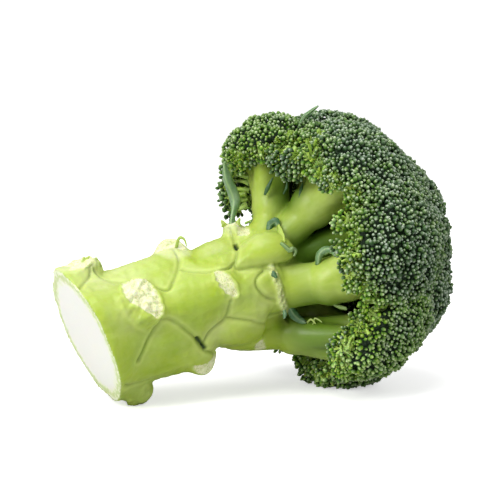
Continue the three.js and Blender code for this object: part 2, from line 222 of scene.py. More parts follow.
def tube(line, radii, sides, shade):
    # A round stem along a line, closed at its far end, with its shade as a mask
    line, radii = np.asarray(line, float), np.asarray(radii, float)
    tangent = unit(np.gradient(line, axis=0))
    helper = np.array([0.3, 0.2, 0.9])
    if abs(tangent[0] @ helper) >= 0.9:
        helper = np.array([1.0, 0, 0])
    across = unit(np.cross(tangent, helper))[:, None]
    normal = np.cross(tangent, across[:, 0])[:, None]
    turn = np.linspace(0, 2 * math.pi, sides, endpoint=False)[None, :, None]
    ring = np.cos(turn) * across + np.sin(turn) * normal
    points = (line[:, None] + ring * radii[:, None, None]).reshape(-1, 3)
    points = np.vstack([points, line[-1] + tangent[-1] * radii[-1] * 0.6])
    faces = [ringQuads(len(line), sides), tipFaces(len(line), sides)]
    travel = np.append(np.repeat(np.linspace(0, 1, len(line)), sides), 1.0)
    return points, faces, {"travel": travel, "shade": np.full(len(points), shade)}


# Materials


def nodeMaker(tree):
    def add(kind, values=None, **settings):
        node = tree.nodes.new(kind)
        for name, value in settings.items():
            setattr(node, name, value)
        for name, value in (values or {}).items():
            if isinstance(value, bpy.types.NodeSocket):
                tree.links.new(value, node.inputs[name])
            else:
                node.inputs[name].default_value = value
        return node

    return add


def connect(node, name, socket):
    node.id_data.links.new(socket, node.inputs[name])


def colourRamp(add, factor, stops):
    ramp = add("ShaderNodeValToRGB", {"Fac": factor})
    points = ramp.color_ramp.elements
    while len(points) < len(stops):
        points.new(0.5)
    for point, (position, colour) in zip(points, stops):
        point.position = position
        point.color = (*colour, 1) if len(colour) == 3 else colour
    return ramp.outputs["Color"]


def mixColour(add, factor, first, second, blend="MIX"):
    node = add("ShaderNodeMix", data_type="RGBA", blend_type=blend)
    tree = node.id_data
    for socket, value in ((node.inputs[0], factor), (node.inputs[6], first), (node.inputs[7], second)):
        if isinstance(value, bpy.types.NodeSocket):
            tree.links.new(value, socket)
        elif isinstance(value, (int, float)):
            socket.default_value = value
        else:
            socket.default_value = (*value, 1) if len(value) == 3 else value
    return node.outputs[2]


def mathNode(add, operation, *values, clamp=False):
    node = add("ShaderNodeMath", operation=operation, use_clamp=clamp)
    for socket, value in zip(node.inputs, values):
        if isinstance(value, bpy.types.NodeSocket):
            node.id_data.links.new(value, socket)
        else:
            socket.default_value = value
    return node.outputs[0]


def maskNode(add, name, output="Fac"):
    return add("ShaderNodeAttribute", attribute_name=name).outputs[output]


def newGroup(name, inputs, outputs):
    group = bpy.data.node_groups.new(name, "ShaderNodeTree")
    for socketName, kind, default in inputs:
        socket = group.interface.new_socket(socketName, in_out="INPUT", socket_type=kind)
        if default is not None:
            socket.default_value = default
    for socketName, kind in outputs:
        group.interface.new_socket(socketName, in_out="OUTPUT", socket_type=kind)
    add = nodeMaker(group)
    return group, add, add("NodeGroupInput"), add("NodeGroupOutput")


def waxyBloomGroup():
    # The pale bluish wax that lies in patches on stalk, leaves and buds
    group, add, given, made = newGroup(
        "waxyBloom",
        [
            ("Base", "NodeSocketColor", (0.3, 0.4, 0.1, 1)),
            ("Wax", "NodeSocketColor", (0.6, 0.75, 0.6, 1)),
            ("Amount", "NodeSocketFloat", 0.3),
            ("Patch Size", "NodeSocketFloat", 90.0),
        ],
        [("Color", "NodeSocketColor"), ("Mask", "NodeSocketFloat")],
    )
    where = add("ShaderNodeTexCoord").outputs["Object"]
    patches = add(
        "ShaderNodeTexNoise",
        {"Vector": where, "Scale": given.outputs["Patch Size"], "Detail": 5.0, "Roughness": 0.62},
    )
    spread = add(
        "ShaderNodeMapRange",
        {"Value": patches.outputs["Fac"], "From Min": 0.42, "From Max": 0.68, "To Min": 0.0, "To Max": 1.0},
    )
    amount = mathNode(add, "MULTIPLY", spread.outputs["Result"], given.outputs["Amount"], clamp=True)
    connect(made, "Color", mixColour(add, amount, given.outputs["Base"], given.outputs["Wax"]))
    connect(made, "Mask", amount)
    return group


def fibreGrainGroup():
    # Fine streaks that run along the flesh, by the piece's own grain coordinates
    group, add, given, made = newGroup(
        "fibreGrain",
        [
            ("Grain", "NodeSocketVector", None),
            ("Fineness", "NodeSocketFloat", 30.0),
            ("Contrast", "NodeSocketFloat", 0.5),
        ],
        [("Value", "NodeSocketFloat")],
    )
    grain, fineness = given.outputs["Grain"], given.outputs["Fineness"]
    coarse = add(
        "ShaderNodeTexNoise",
        {"Vector": grain, "Scale": fineness, "Detail": 4.0, "Roughness": 0.6},
    )
    level = add(
        "ShaderNodeMapRange",
        {"Value": coarse.outputs["Fac"], "From Min": 0.3, "From Max": 0.7, "To Min": -1.0, "To Max": 1.0},
    )
    scaled = mathNode(add, "MULTIPLY", level.outputs["Result"], given.outputs["Contrast"])
    connect(made, "Value", scaled)
    return group


bloomGroup = waxyBloomGroup()
grainGroup = fibreGrainGroup()


def addWax(add, base, wax, amount, patchSize):
    values = {"Base": base, "Wax": (*wax, 1), "Amount": amount, "Patch Size": patchSize}
    return add("ShaderNodeGroup", values, node_tree=bloomGroup)


def addGrain(add, grain, fineness, contrast):
    values = {"Grain": grain, "Fineness": fineness, "Contrast": contrast}
    return add("ShaderNodeGroup", values, node_tree=grainGroup).outputs["Value"]


def addBump(add, shader, height, strength, distance):
    bump = add("ShaderNodeBump", {"Height": height, "Strength": strength, "Distance": distance})
    connect(shader, "Normal", bump.outputs["Normal"])


def newMaterial(name, settings):
    # The settings are plain values on the shader's own sockets
    material = bpy.data.materials.new(name)
    material.use_nodes = True
    material.node_tree.nodes.clear()
    add = nodeMaker(material.node_tree)
    shader = add("ShaderNodeBsdfPrincipled", settings)
    output = add("ShaderNodeOutputMaterial")
    connect(output, "Surface", shader.outputs[0])
    return material, add, shader


def stalkMaterial():
    look = {
        "skin": (0.295, 0.425, 0.008),
        "skinPale": (0.39, 0.47, 0.06),
        "panelEdge": (0.40, 0.48, 0.125),
        "limbSkin": (0.50, 0.59, 0.15),
        "limbDeep": (0.29, 0.42, 0.03),
        # inner: painted shade, the dark green painted deep between the branches and on their sides that face
        # the crown
        "inner": (0.045, 0.125, 0.003),
        "deeper": (0.19, 0.31, 0.004),
        "paler": (0.58, 0.63, 0.32),
        # groove and slit: painted shade, darker green in the grooves and near black in the slits
        "groove": (0.09, 0.17, 0.004),
        "slit": (0.008, 0.03, 0.004),
        # lip: painted highlight, a paler line along the raised edges beside the grooves, scars and stump
        # faces
        "lip": (0.52, 0.62, 0.16),
        "wax": (0.44, 0.55, 0.17),
        "scar": (0.62, 0.64, 0.36),
        "scarDot": (0.40, 0.47, 0.14),
        "frayed": (0.80, 0.82, 0.56),
        "pith": (0.77, 0.77, 0.71),
        "pithRing": (0.52, 0.62, 0.26),
        "skinEdge": (0.74, 0.78, 0.56),
    }
    shine = {
        "Subsurface Weight": 0.2,
        "Subsurface Radius": (0.5, 1.0, 0.1),
        "Subsurface Scale": 0.003,
        "Specular IOR Level": 0.28,
    }
    material, add, shader = newMaterial("stalkSkin", shine)
    grain = maskNode(add, "grain", "Vector")
    streaks = addGrain(add, grain, 0.6, 0.55)
    fine = addGrain(add, grain, 3.5, 0.28)
    both = mathNode(add, "ADD", streaks, fine)
    level = mathNode(add, "MULTIPLY_ADD", both, 0.5, 0.45, clamp=True)
    skin = mixColour(add, level, look["skin"], look["skinPale"])
    edges = mathNode(add, "MULTIPLY_ADD", maskNode(add, "centre"), -0.6, 0.6)
    skin = mixColour(add, edges, skin, look["panelEdge"])
    limb = mixColour(add, level, look["limbDeep"], look["limbSkin"])
    base = mixColour(add, maskNode(add, "deep"), skin, limb)
    base = mixColour(add, maskNode(add, "deeper"), base, look["deeper"])
    waxed = addWax(add, base, look["wax"], 0.45, 42.0)
    skinned = mixColour(add, maskNode(add, "paler"), waxed.outputs["Color"], look["paler"])
    # Painted shade: darker green deep between the branches and on their sides that face the crown
    inner = mathNode(add, "MULTIPLY", maskNode(add, "inner"), 0.9)
    skinned = mixColour(add, inner, skinned, look["inner"])
    # Painted highlight along the raised edges
    lip = mathNode(add, "MULTIPLY", maskNode(add, "lip"), 0.35)
    lipped = mixColour(add, lip, skinned, look["lip"])
    # Painted shade in the grooves and, near black, in the slits
    grooved = mixColour(add, maskNode(add, "groove"), lipped, look["groove"])
    grooved = mixColour(add, maskNode(add, "slit"), grooved, look["slit"])
    # Dotted fibre ends in the scars
    where = add("ShaderNodeTexCoord").outputs["Object"]
    dots = add("ShaderNodeTexVoronoi", {"Vector": where, "Scale": 1300.0})
    dotted = colourRamp(add, dots.outputs["Distance"], [(0.15, look["scarDot"]), (0.5, look["scar"])])
    dotted = mixColour(add, maskNode(add, "frayed"), dotted, look["frayed"])
    scarred = mixColour(add, maskNode(add, "scar"), grooved, dotted)
    # The cut face: white pith, a ring of fibre ends under the skin, and the skin's pale edge
    depth = maskNode(add, "cutDepth")
    rough = add("ShaderNodeTexNoise", {"Vector": where, "Scale": 520.0, "Detail": 4.0})
    evened = mathNode(add, "SUBTRACT", depth, 0.25)
    shifted = mathNode(add, "MULTIPLY_ADD", rough.outputs["Fac"], 0.5, evened)
    face = colourRamp(
        add,
        shifted,
        [
            (0.0, look["skinEdge"]),
            (0.06, look["skinEdge"]),
            (0.10, look["pithRing"]),
            (0.20, look["pithRing"]),
            (0.28, look["skinEdge"]),
            (0.40, look["pith"]),
        ],
    )
    connect(shader, "Base Color", mixColour(add, maskNode(add, "cut"), scarred, face))
    # Wax and scars are duller than bare skin
    scarDull = mathNode(add, "MULTIPLY", maskNode(add, "scar"), 0.75)
    waxDull = mathNode(add, "MULTIPLY_ADD", waxed.outputs["Mask"], 0.2, 0.34)
    connect(shader, "Roughness", mathNode(add, "MAXIMUM", waxDull, scarDull))
    bumps = add("ShaderNodeTexNoise", {"Vector": where, "Scale": 900.0, "Detail": 3.0})
    pores = mathNode(add, "MULTIPLY", bumps.outputs["Fac"], 0.35)
    height = mathNode(add, "MULTIPLY_ADD", both, 0.35, pores)
    dotHeight = mathNode(add, "MULTIPLY", dots.outputs["Distance"], 1.6)
    fibres = mathNode(add, "MULTIPLY", maskNode(add, "scar"), dotHeight)
    addBump(add, shader, mathNode(add, "ADD", height, fibres), 0.3, 0.0004)
    return material


def budMaterial():
    look = {
        # In both ramps the near-black foot is painted shade in the hollows between the buds, and the pale
        # grey tip is partly the buds' own waxy tips and partly a painted highlight
        "grown": [  # from the hollows between the buds to their tips
            (0.0, (0.003, 0.010, 0.002)),
            (0.5, (0.012, 0.054, 0.006)),
            (0.76, (0.052, 0.110, 0.038)),
            (0.96, (0.300, 0.362, 0.280)),
        ],
        "young": [
            (0.0, (0.010, 0.042, 0.001)),
            (0.5, (0.100, 0.270, 0.006)),
            (0.76, (0.24, 0.42, 0.03)),
            (0.96, (0.42, 0.54, 0.16)),
        ],
        "wax": (0.24, 0.28, 0.24),
    }
    material, add, shader = newMaterial("budSkin", {"Specular IOR Level": 0.22})
    height = maskNode(add, "budHeight")
    young = maskNode(add, "budYoung")
    tint = maskNode(add, "budTint")
    # The ramps paint shade at the buds' feet and a highlight at their tips
    grown = colourRamp(add, height, look["grown"])
    fresh = colourRamp(add, height, look["young"])
    shaded = add("ShaderNodeHueSaturation", {"Color": mixColour(add, young, grown, fresh)})
    connect(shaded, "Value", mathNode(add, "MULTIPLY_ADD", tint, 0.8, 0.6))
    connect(shaded, "Saturation", mathNode(add, "MULTIPLY_ADD", tint, -0.5, 1.25))
    waxed = addWax(add, shaded.outputs["Color"], look["wax"], 0.2, 900.0)
    connect(shader, "Base Color", waxed.outputs["Color"])
    dull = mathNode(add, "MULTIPLY_ADD", height, -0.7, 0.95, clamp=True)
    connect(shader, "Roughness", mathNode(add, "MAXIMUM", dull, 0.36))
    where = add("ShaderNodeTexCoord").outputs["Object"]
    grains = add("ShaderNodeTexNoise", {"Vector": where, "Scale": 3500.0, "Detail": 2.0})
    addBump(add, shader, grains.outputs["Fac"], 0.3, 0.0002)
    return material


def twigMaterial():
    look = {
        "foot": (0.34, 0.50, 0.08),
        "tip": (0.42, 0.58, 0.06),
        "deep": (0.16, 0.32, 0.02),
        "wax": (0.5, 0.66, 0.36),
    }
    shine = {
        "Roughness": 0.45,
        "Subsurface Weight": 0.2,
        "Subsurface Radius": (0.5, 1.0, 0.15),
        "Subsurface Scale": 0.002,
    }
    material, add, shader = newMaterial("twigSkin", shine)
    where = add("ShaderNodeTexCoord").outputs["Object"]
    mottle = add("ShaderNodeTexNoise", {"Vector": where, "Scale": 400.0, "Detail": 3.0})
    colour = mixColour(add, maskNode(add, "travel"), look["foot"], look["tip"])
    colour = mixColour(add, maskNode(add, "shade"), colour, look["deep"])
    waxed = addWax(add, colour, look["wax"], 0.35, 160.0)
    connect(shader, "Base Color", waxed.outputs["Color"])
    addBump(add, shader, mottle.outputs["Fac"], 0.25, 0.0003)
    return material


def leafMaterial():
    look = {
        "blade": (0.055, 0.16, 0.065),
        "vein": (0.30, 0.44, 0.22),
        "margin": (0.20, 0.32, 0.09),
        "wax": (0.33, 0.46, 0.31),
        "fresh": (0.42, 0.53, 0.11),
        "deep": (0.015, 0.075, 0.008),
    }
    shine = {
        "Subsurface Weight": 0.15,
        "Subsurface Radius": (0.4, 1.0, 0.2),
        "Subsurface Scale": 0.001,
    }
    material, add, shader = newMaterial("leafSkin", shine)
    blade = addWax(add, (*look["blade"], 1), look["wax"], 0.5, 140.0)
    veined = mixColour(add, maskNode(add, "vein"), blade.outputs["Color"], look["vein"])
    edged = mixColour(add, maskNode(add, "margin"), veined, look["margin"])
    fresh = mixColour(add, maskNode(add, "fresh"), edged, look["fresh"])
    fresh = mixColour(add, maskNode(add, "deepGreen"), fresh, look["deep"])
    connect(shader, "Base Color", fresh)
    connect(shader, "Roughness", mathNode(add, "MULTIPLY_ADD", blade.outputs["Mask"], 0.2, 0.38))
    where = add("ShaderNodeTexCoord").outputs["Object"]
    net = add("ShaderNodeTexVoronoi", {"Vector": where, "Scale": 900.0}, feature="DISTANCE_TO_EDGE")
    height = mathNode(add, "SUBTRACT", net.outputs["Distance"], maskNode(add, "vein"))
    addBump(add, shader, height, 0.35, 0.0004)
    return material


stalkSkin = stalkMaterial()
budSkin = budMaterial()
twigSkin = twigMaterial()
leafSkin = leafMaterial()
print("materials made")


# The florets' buds
buds = {
    "spacing": 1.74,
    "radius": 0.85,
    "long": 1.34,
    "sides": 8,
    "sizes": (0.66, 1.24),  # smallest and largest, as a share of the usual bud
    "tilt": 0.38,  # how far single buds lean out of line
    "jitter": 0.2,  # how far they stand out of their places, as a share of the spacing
    "rimRadius": 3.4,
    "underside": 7.0,  # how far the buds run back under the rim
    "young": {"floret_top": 0.38, "floret_lower_front": 0.26, "floret_upper_back": 0.5, "others": 0.1},
    "clusterSpacing": 9.5,
    "clusterRise": 1.5,
    "rimRelief": 1.6,
    "setIn": 1.3,  # bud middles lie this far inside the florets' outline
    "fan": 0.6,  # how much the buds lean away from their cluster's middle
    "blend": 2.2,
    "buried": 2.2,
    "coreDepth": 1.9,
    "coreRimRadius": 2.2,
    "coreUnderside": 60.0,  # more than there is, so that the core is closed underneath
    "coreGrid": (30, 44),
    "coreGap": 3.6,  # room for the twigs between the underside's buds and the core
    "rimKeep": 0.62,  # share of the buds that stay under the rim
    "stemLength": 6.5,
    "stemRadius": 0.42,
}


# The florets' undersides lie about this far from the middle of the hollow
undersides = {
    "floret_top": 47.5,
    "floret_upper": 46.5,
    "floret_upper_front": 47.5,
    "floret_front": 45.5,
    "floret_lower_front": 47.5,
    "floret_bottom": 47.0,
    "others": 45.0,
}


def undersideOf(name):
    return undersides.get(name, undersides["others"])


def isOuter(name):
    # The florets whose rims can be seen from below
    return "inner" not in name and name != "floret_tip"


# Stalk and branches

stalk = {
    "radii": [  # along the stalk, radius
        (-12, 29),
        (0, 27.3),
        (6, 25),
        (12, 23),
        (20, 22.2),
        (35, 21.6),
        (50, 19.9),
        (62, 20),
        (75, 19.6),
        (88, 16),
        (104, 9),
    ],
    "end": 104.0,
    "cutOverhang": 0.9,
    "cutSlope": 0.19,
    "cutSideSlope": -0.06,
    "cutRounding": 0.9,
    "frontCell": 0.5,  # the grid's cells on the side that shows, and elsewhere
    "backCell": 0.85,
    "limbCell": 0.8,
    "heightCell": 0.6,
    "limbBlend": 4.0,
    "forkBlend": 1.6,
    "stumpBlend": 2.6,
    "swellBlend": 5.0,
    "lineRadius": 24.0,  # the radius at which lines and patches on the skin are measured round
    "patchRadius": 21.0,
}

# The relief worked into the skin, in millimetres
relief = {
    "grooveDepth": 0.5,
    "grooveWidth": 0.48,
    "panelRise": 1.7,
    "panelReach": 4.2,
    "broadLumps": (14.0, 0.35),  # their size across, and how high they stand
    "fineLumps": (4.5, 0.12),
    "ridge": (1.6, 1.0),  # half its width, and how high or deep it is; so are the next two
    "slit": (0.7, 1.6),
    "softEdge": (1.6, 0.5),
    "scarSunk": 0.5,
    "scarRim": 0.55,
    "skinEnd": 92.0,  # the skin's own forms fade out here, under the crown
    "skinFade": 8.0,
}

# The swollen foot of each leaf's stalk: at, round, wide in degrees, long, high
leafBases = [
    (6, -8, 34, 22, 0.8),
    (14, 166, 30, 22, 1.0),
    (24, 57, 40, 32, 1.4),
    (28, 285, 40, 32, 1.6),
    (34, 222, 38, 30, 1.6),
    (45, -8, 42, 34, 1.0),
    (44, 150, 38, 30, 1.0),
    (57, 67, 42, 34, 1.2),
    (58, 292, 40, 30, 1.6),
    (66, 232, 38, 28, 1.4),
    (72, -14, 36, 30, 1.2),
    (78, 92, 42, 30, 2.0),
    (80, 168, 36, 28, 1.4),
    (87, 36, 36, 30, 2.0),
]

# Leaf stumps: at, round, half sizes (along, out, round), the cut face's way (along, out, round),
# how far out the cut lies, and the swelling below it (length, rise, radius)
stumps = [
    (1.5, -9, (10.0, 7.0, 8.5), (-0.18, 0.95, 0.22), 3.2, (9, 0.6, 7)),
    (14.0, 172, (6.8, 9.0, 6.2), (0.10, 0.99, 0.0), 8.0, (10, 1.0, 6)),
    (19.0, 57, (7.5, 5.0, 10.5), (0.36, 0.93, 0.05), 2.6, (17, 1.6, 8)),
    (42.0, -12, (7.2, 9.2, 7.6), (-0.30, 0.30, 0.90), 1.8, (26, 3.4, 8)),
    (40.5, 147, (6.5, 8.0, 7.0), (0.22, 0.50, -0.83), 2.6, (22, 3.0, 8)),
    (53.3, 67, (5.5, 2.6, 6.8), (0.16, 0.98, 0.0), 0.8, (26, 0.8, 9)),
    (71.5, -14, (4.8, 9.5, 5.4), (-0.16, 0.96, 0.20), 6.8, (20, 2.0, 7)),
    (27.0, 285, (8.0, 5.5, 8.0), (0.25, 0.94, 0.1), 2.8, (22, 2.4, 8)),
    (33.0, 222, (8.0, 5.5, 7.5), (0.20, 0.92, -0.25), 2.7, (22, 2.4, 8)),
    (57.0, 292, (7.0, 5.0, 7.0), (0.10, 0.95, 0.25), 2.6, (22, 2.2, 8)),
    (65.0, 232, (6.0, 4.6, 6.5), (0.12, 0.96, 0.0), 2.2, (20, 2.0, 7)),
    (78.5, 45, (13.0, 5.6, 8.0), (0.88, 0.22, -0.42), 7.5, (8, 0.0, 6)),
    (61.5, 128, (12.0, 4.6, 9.0), (0.97, 0.15, 0.2), 7.5, (8, 0.0, 6)),
]
unscarred = (1, 2, 5, 11, 12)  # stumps, counted from 0, whose faces are covered or marked by an outline
darkSided = (4,)  # and the one that isn't paler round its face

# Pale scars flush with the skin, as outlines along and round the stalk
scarOutlines = [
    [(12, 44), (15, 31), (20.5, 25.5), (23.5, 36), (25, 55), (24.5, 72), (21.5, 76), (16.5, 66), (12.5, 55)],
    [(51.5, 48), (54.5, 51), (57, 66), (57.5, 78), (56, 82), (52.5, 74), (50.5, 60)],
    [(70, 4), (72.5, -6), (75.5, -9), (76.5, -2), (74.5, 12)],
    [(65.5, 152), (67, 166), (70.5, 160), (68.5, 150)],
]

# Torn ridges where a leaf's stalk was pulled off, and slits behind the stumps, painted dark as shade
ridges = [
    [(75, 68), (75.5, 79), (76, 92), (76.5, 107), (79, 125), (80, 134)],
]
slits = [
    [(67.4, 13), (66.5, 19), (65.6, 25)],
    [(38.5, 114), (40, 121), (41.5, 128)],
    [(31, 292), (30, 300), (28, 308)],
]

# Grooves between the leaf bases, sunk and darkened with painted shade, as points along and round the stalk
grooves = [
    [(3, -22), (4, -8), (6, 4), (2, 18), (-3, 30)],
    [(6, 4), (16, 23), (21, 24), (24, 37), (30, 51), (34, 43), (38, 30), (42, 11), (43, -10), (42, -30)],
    [(24, 78), (22, 84), (19, 90), (15, 103), (12, 115)],
    [(6, 138), (8.5, 146), (13, 149), (17, 149)],
    [(23, 80), (28, 83), (36, 107), (40, 127), (46, 142), (47, 160)],
    [(40, 26), (45, 37), (52, 47), (58, 49), (62, 43), (66, 23), (68, 5), (69, -14)],
    [(52, 47), (53, 56)],
    [(54, 84), (51, 102), (44, 113), (40, 125)],
    [(62, 43), (62, 52), (70, 62), (74, 68)],
    [(71.5, 67), (68.5, 70), (67, 76), (67.2, 84), (70, 96), (74, 104)],
    [(70, 62), (84, 70), (88, 60), (86, 40), (86, 28)],
    [(51, 102), (60, 111), (68, 123), (80, 133), (86, 150)],
    [(42, -30), (30, -48), (24, -62), (20, -88)],
    [(16, 160), (20, 176), (26, 196), (34, 204)],
    [(47, 160), (40, 185), (34, 204), (22, 222), (12, 232)],
    [(34, 204), (38, 222), (36, 240), (28, 252), (18, 258)],
    [(20, -88), (10, -84), (2, -70)],
    [(28, 252), (30, 272), (31, 296), (24, 318), (14, 332)],
    [(42, -30), (50, -40), (60, -55), (62, -72), (58, -90)],
    [(36, 240), (46, 250), (56, 262), (58, 270)],
    [(47, 160), (56, 178), (64, 196), (70, 214), (70, 236), (62, 250), (56, 262)],
    [(69, -14), (74, -34), (70, -50), (62, -56)],
    [(70, 236), (78, 250), (84, 268)],
    [(80, 133), (84, 168), (78, 196), (70, 214)],
]

# Soft raised edges where the skin steps down without a groove, with a painted highlight along them
paleEdges = [
    [(10, 50), (8.5, 62), (12, 76), (18, 88)],
]

# Patches where the skin is deeper or paler: at, round, size, how much
deeperPatches = [
    (37, 84, 8, 0.6),
    (14, 100, 10, 0.5),
    (27, 112, 8, 0.45),
    (47, 80, 6, 0.4),
    (62, 84, 6, 0.3),
    (22, 140, 9, 0.4),
    (60, 20, 6, 0.25),
    (40, 200, 10, 0.4),
    (22, 260, 9, 0.4),
    (50, 320, 9, 0.35),
]
palerPatches = [
    (5, 22, 8, 0.55),
    (18, 4, 9, 0.5),
    (29, -6, 7, 0.35),
    (22, 26, 5, 0.35),
    (58, 8, 6, 0.4),
    (47, 116, 6, 0.35),
    (10, 66, 7, 0.3),
    (67, 104, 5, 0.25),
    (74, 30, 6, 0.35),
    (12, 240, 9, 0.4),
    (44, 236, 8, 0.35),
    (34, 300, 8, 0.4),
]

# Parts of the branches painted dark green as shade, where the crown and other branches shadow them, in the
# head's own millimetres: middle, size, how much
shadedPlaces = [
    ((91, -23, 31), 17, 0.85),
    ((84, -16, 30), 8, 0.6),
    ((87, -5, 86), 10.5, 0.9),
    ((84, -4, 94), 8, 0.7),
    ((93, -22, 64), 9, 0.5),
]

# Each branch: its floret, where it leaves the stalk (along, round, out), its radius at foot and end,
# and whether it divides into smaller ones
branches = [
    ("floret_top", 74, -2, 12, 7.8, 7, True),
    ("floret_upper", 86, -10, 7, 7, 8, True),
    ("floret_upper_front", 84, 18, 13, 8.5, 11, True),
    ("floret_front", 76, 103, 12, 9, 11, True),
    ("floret_lower_front", 60, 168, 17, 7.6, 6.6, True),
    ("floret_bottom", 76, 186, 11, 8, 9, True),
    ("floret_lower_back", 78, 228, 11, 8, 9, True),
    ("floret_back", 82, 268, 11, 9, 10, True),
    ("floret_upper_back", 80, 312, 12, 6, 6, True),
    ("floret_inner_front", 92, 60, 4, 7, 8, False),
    ("floret_inner_low", 92, 150, 4, 7, 8, False),
    ("floret_inner_back", 92, 240, 4, 7, 8, False),
    ("floret_inner_high", 92, 322, 4, 7, 8, False),
    ("floret_tip", 94, 0, 0, 8, 9, False),
]

limbs = {
    "aims": {  # where a branch heads for when that isn't its floret's middle: away, round
        "floret_upper_front": (68, 26),
        "floret_front": (72, 104),
        "floret_lower_front": (92, 155),
    },
    "reach": 14.0,
    "rise": 8.0,
    "endRun": 20.0,
    "endRadius": 49.1,
    "flatness": 0.16,  # how much thinner a branch is than it is wide
    "innerFlatness": 0.12,
    "steps": 15,
    "forkAt": 0.58,  # share of the way to the floret where a branch divides
    "forks": 4,
    "forkSpread": 20.0,  # degrees, for a floret of this radius
    "forkBall": 32.0,
    "forkInto": 1.2,  # how far the forks run into the core
    "forkRadius": 3.2,
    "forkEnd": 1.9,
    "forkSteps": 7,
}


def leafBaseRise(distance, turn):
    rise = np.zeros_like(distance)
    for at, middle, wide, long, high in leafBases:
        below = (at - distance) / long
        lip = eased(ramp(below, -0.12, 0.12))
        width = wide * np.sqrt(np.maximum(1 - below, 0.12))
        away = np.abs(turnBetween(turn, middle)) / width
        edge = 1 - eased(ramp(away, 0.45, 0.55))
        shape = high * lip * edge * (1 - 0.55 * np.maximum(below, 0)) * (below <= 1)
        rise = np.maximum(rise, shape)
    return rise


def stalkRadius(distance, turn):
    table = np.array(stalk["radii"])
    return np.interp(distance, table[:, 0], table[:, 1]) + leafBaseRise(distance, turn)


def radiusAt(distance, turn):
    # The stalk's radius at a single place
    return float(stalkRadius(np.array(float(distance)), np.array(float(turn))))


def cutFace(distance, up, side):
    # How far a point lies past the slanting cut, along the stalk
    return distance + stalk["cutOverhang"] + stalk["cutSlope"] * up + stalk["cutSideSlope"] * side


def smoothMin(first, second, reach):
    near = np.maximum(reach - np.abs(first - second), 0) / reach
    return np.minimum(first, second) - near * near * reach / 4


def smoothMax(first, second, reach):
    return -smoothMin(-first, -second, reach)


def limbField(points, line, radii, flatWay=None, flatness=0.0):
    # Distance to a limb along a line: below zero inside it
    best = np.full(points.shape[:-1], 50.0, np.float32)
    for start, end, startSize, endSize in zip(line[:-1], line[1:], radii[:-1], radii[1:]):
        run = end - start
        travel = np.clip(((points - start) @ run) / (run @ run), 0, 1)
        away = points - start - travel[..., None] * run
        squared = np.einsum("...i,...i", away, away)
        if flatWay is not None:
            squared = squared + (away @ flatWay) ** 2 * (1 / (1 - flatness) ** 2 - 1)
        best = np.minimum(best, np.sqrt(squared) - (startSize + (endSize - startSize) * travel))
    return best


def gridLine(stops):
    # Grid positions from (start, cell size) stops; the last stop is the end
    line = []
    for (start, cell), (end, _) in zip(stops[:-1], stops[1:]):
        count = max(int(round((end - start) / cell)), 1)
        line.append(np.linspace(start, end, count, endpoint=False))
    return np.concatenate(line + [[stops[-1][0]]])


def nearbyCells(axes, low, high):
    # The grid's part between two corners: its slices and its points
    spans = tuple(slice(*np.searchsorted(axis, (low[i], high[i]))) for i, axis in enumerate(axes))
    grid = np.meshgrid(*(axis[span] for axis, span in zip(axes, spans)), indexing="ij")
    return spans, np.stack(grid, -1)


def addLimb(field, axes, line, radii, blend, flatWay=None, flatness=0.0):
    margin = max(radii) + blend + 2
    spans, points = nearbyCells(axes, line.min(0) - margin, line.max(0) + margin)
    field[spans] = smoothMin(field[spans], limbField(points, line, radii, flatWay, flatness), blend)


def stumpFrame(stump):
    at, turn = stump[:2]
    middle = place(at, turn, radiusAt(at, turn) - 0.5)
    ways = np.stack([along, outward(float(turn)), outward(turn + 90.0)])
    return middle, ways


def stumpShape(points, stump):
    # The stump's rounded body and its flat cut, as two distances
    middle, ways = stumpFrame(stump)
    halfSizes, cutWay, cutOut = np.array(stump[2]), unit(stump[3]), stump[4]
    local = (points - middle) @ ways.T
    body = (np.linalg.norm(local / halfSizes, axis=-1) - 1) * halfSizes.min()
    return body, local @ cutWay - cutOut


def addSwelling(field, axes, stump):
    at, turn = stump[:2]
    length, rise, radius = stump[5]
    foot, head = max(at - length, -8), at - 1.0
    lower = place(foot, turn, radiusAt(foot, turn) - radius * 0.8 - 0.8)
    upper = place(head, turn, radiusAt(head, turn) + rise - radius)
    sizes = np.linspace(radius * 0.8, radius, 6)
    addLimb(field, axes, np.linspace(lower, upper, 6), sizes, stalk["swellBlend"])


def addStump(field, axes, stump):
    middle = stumpFrame(stump)[0]
    margin = max(stump[2]) + 5
    spans, points = nearbyCells(axes, middle - margin, middle + margin)
    body, face = stumpShape(points, stump)
    field[spans] = smoothMin(field[spans], smoothMax(body, face, 0.8), stalk["stumpBlend"])


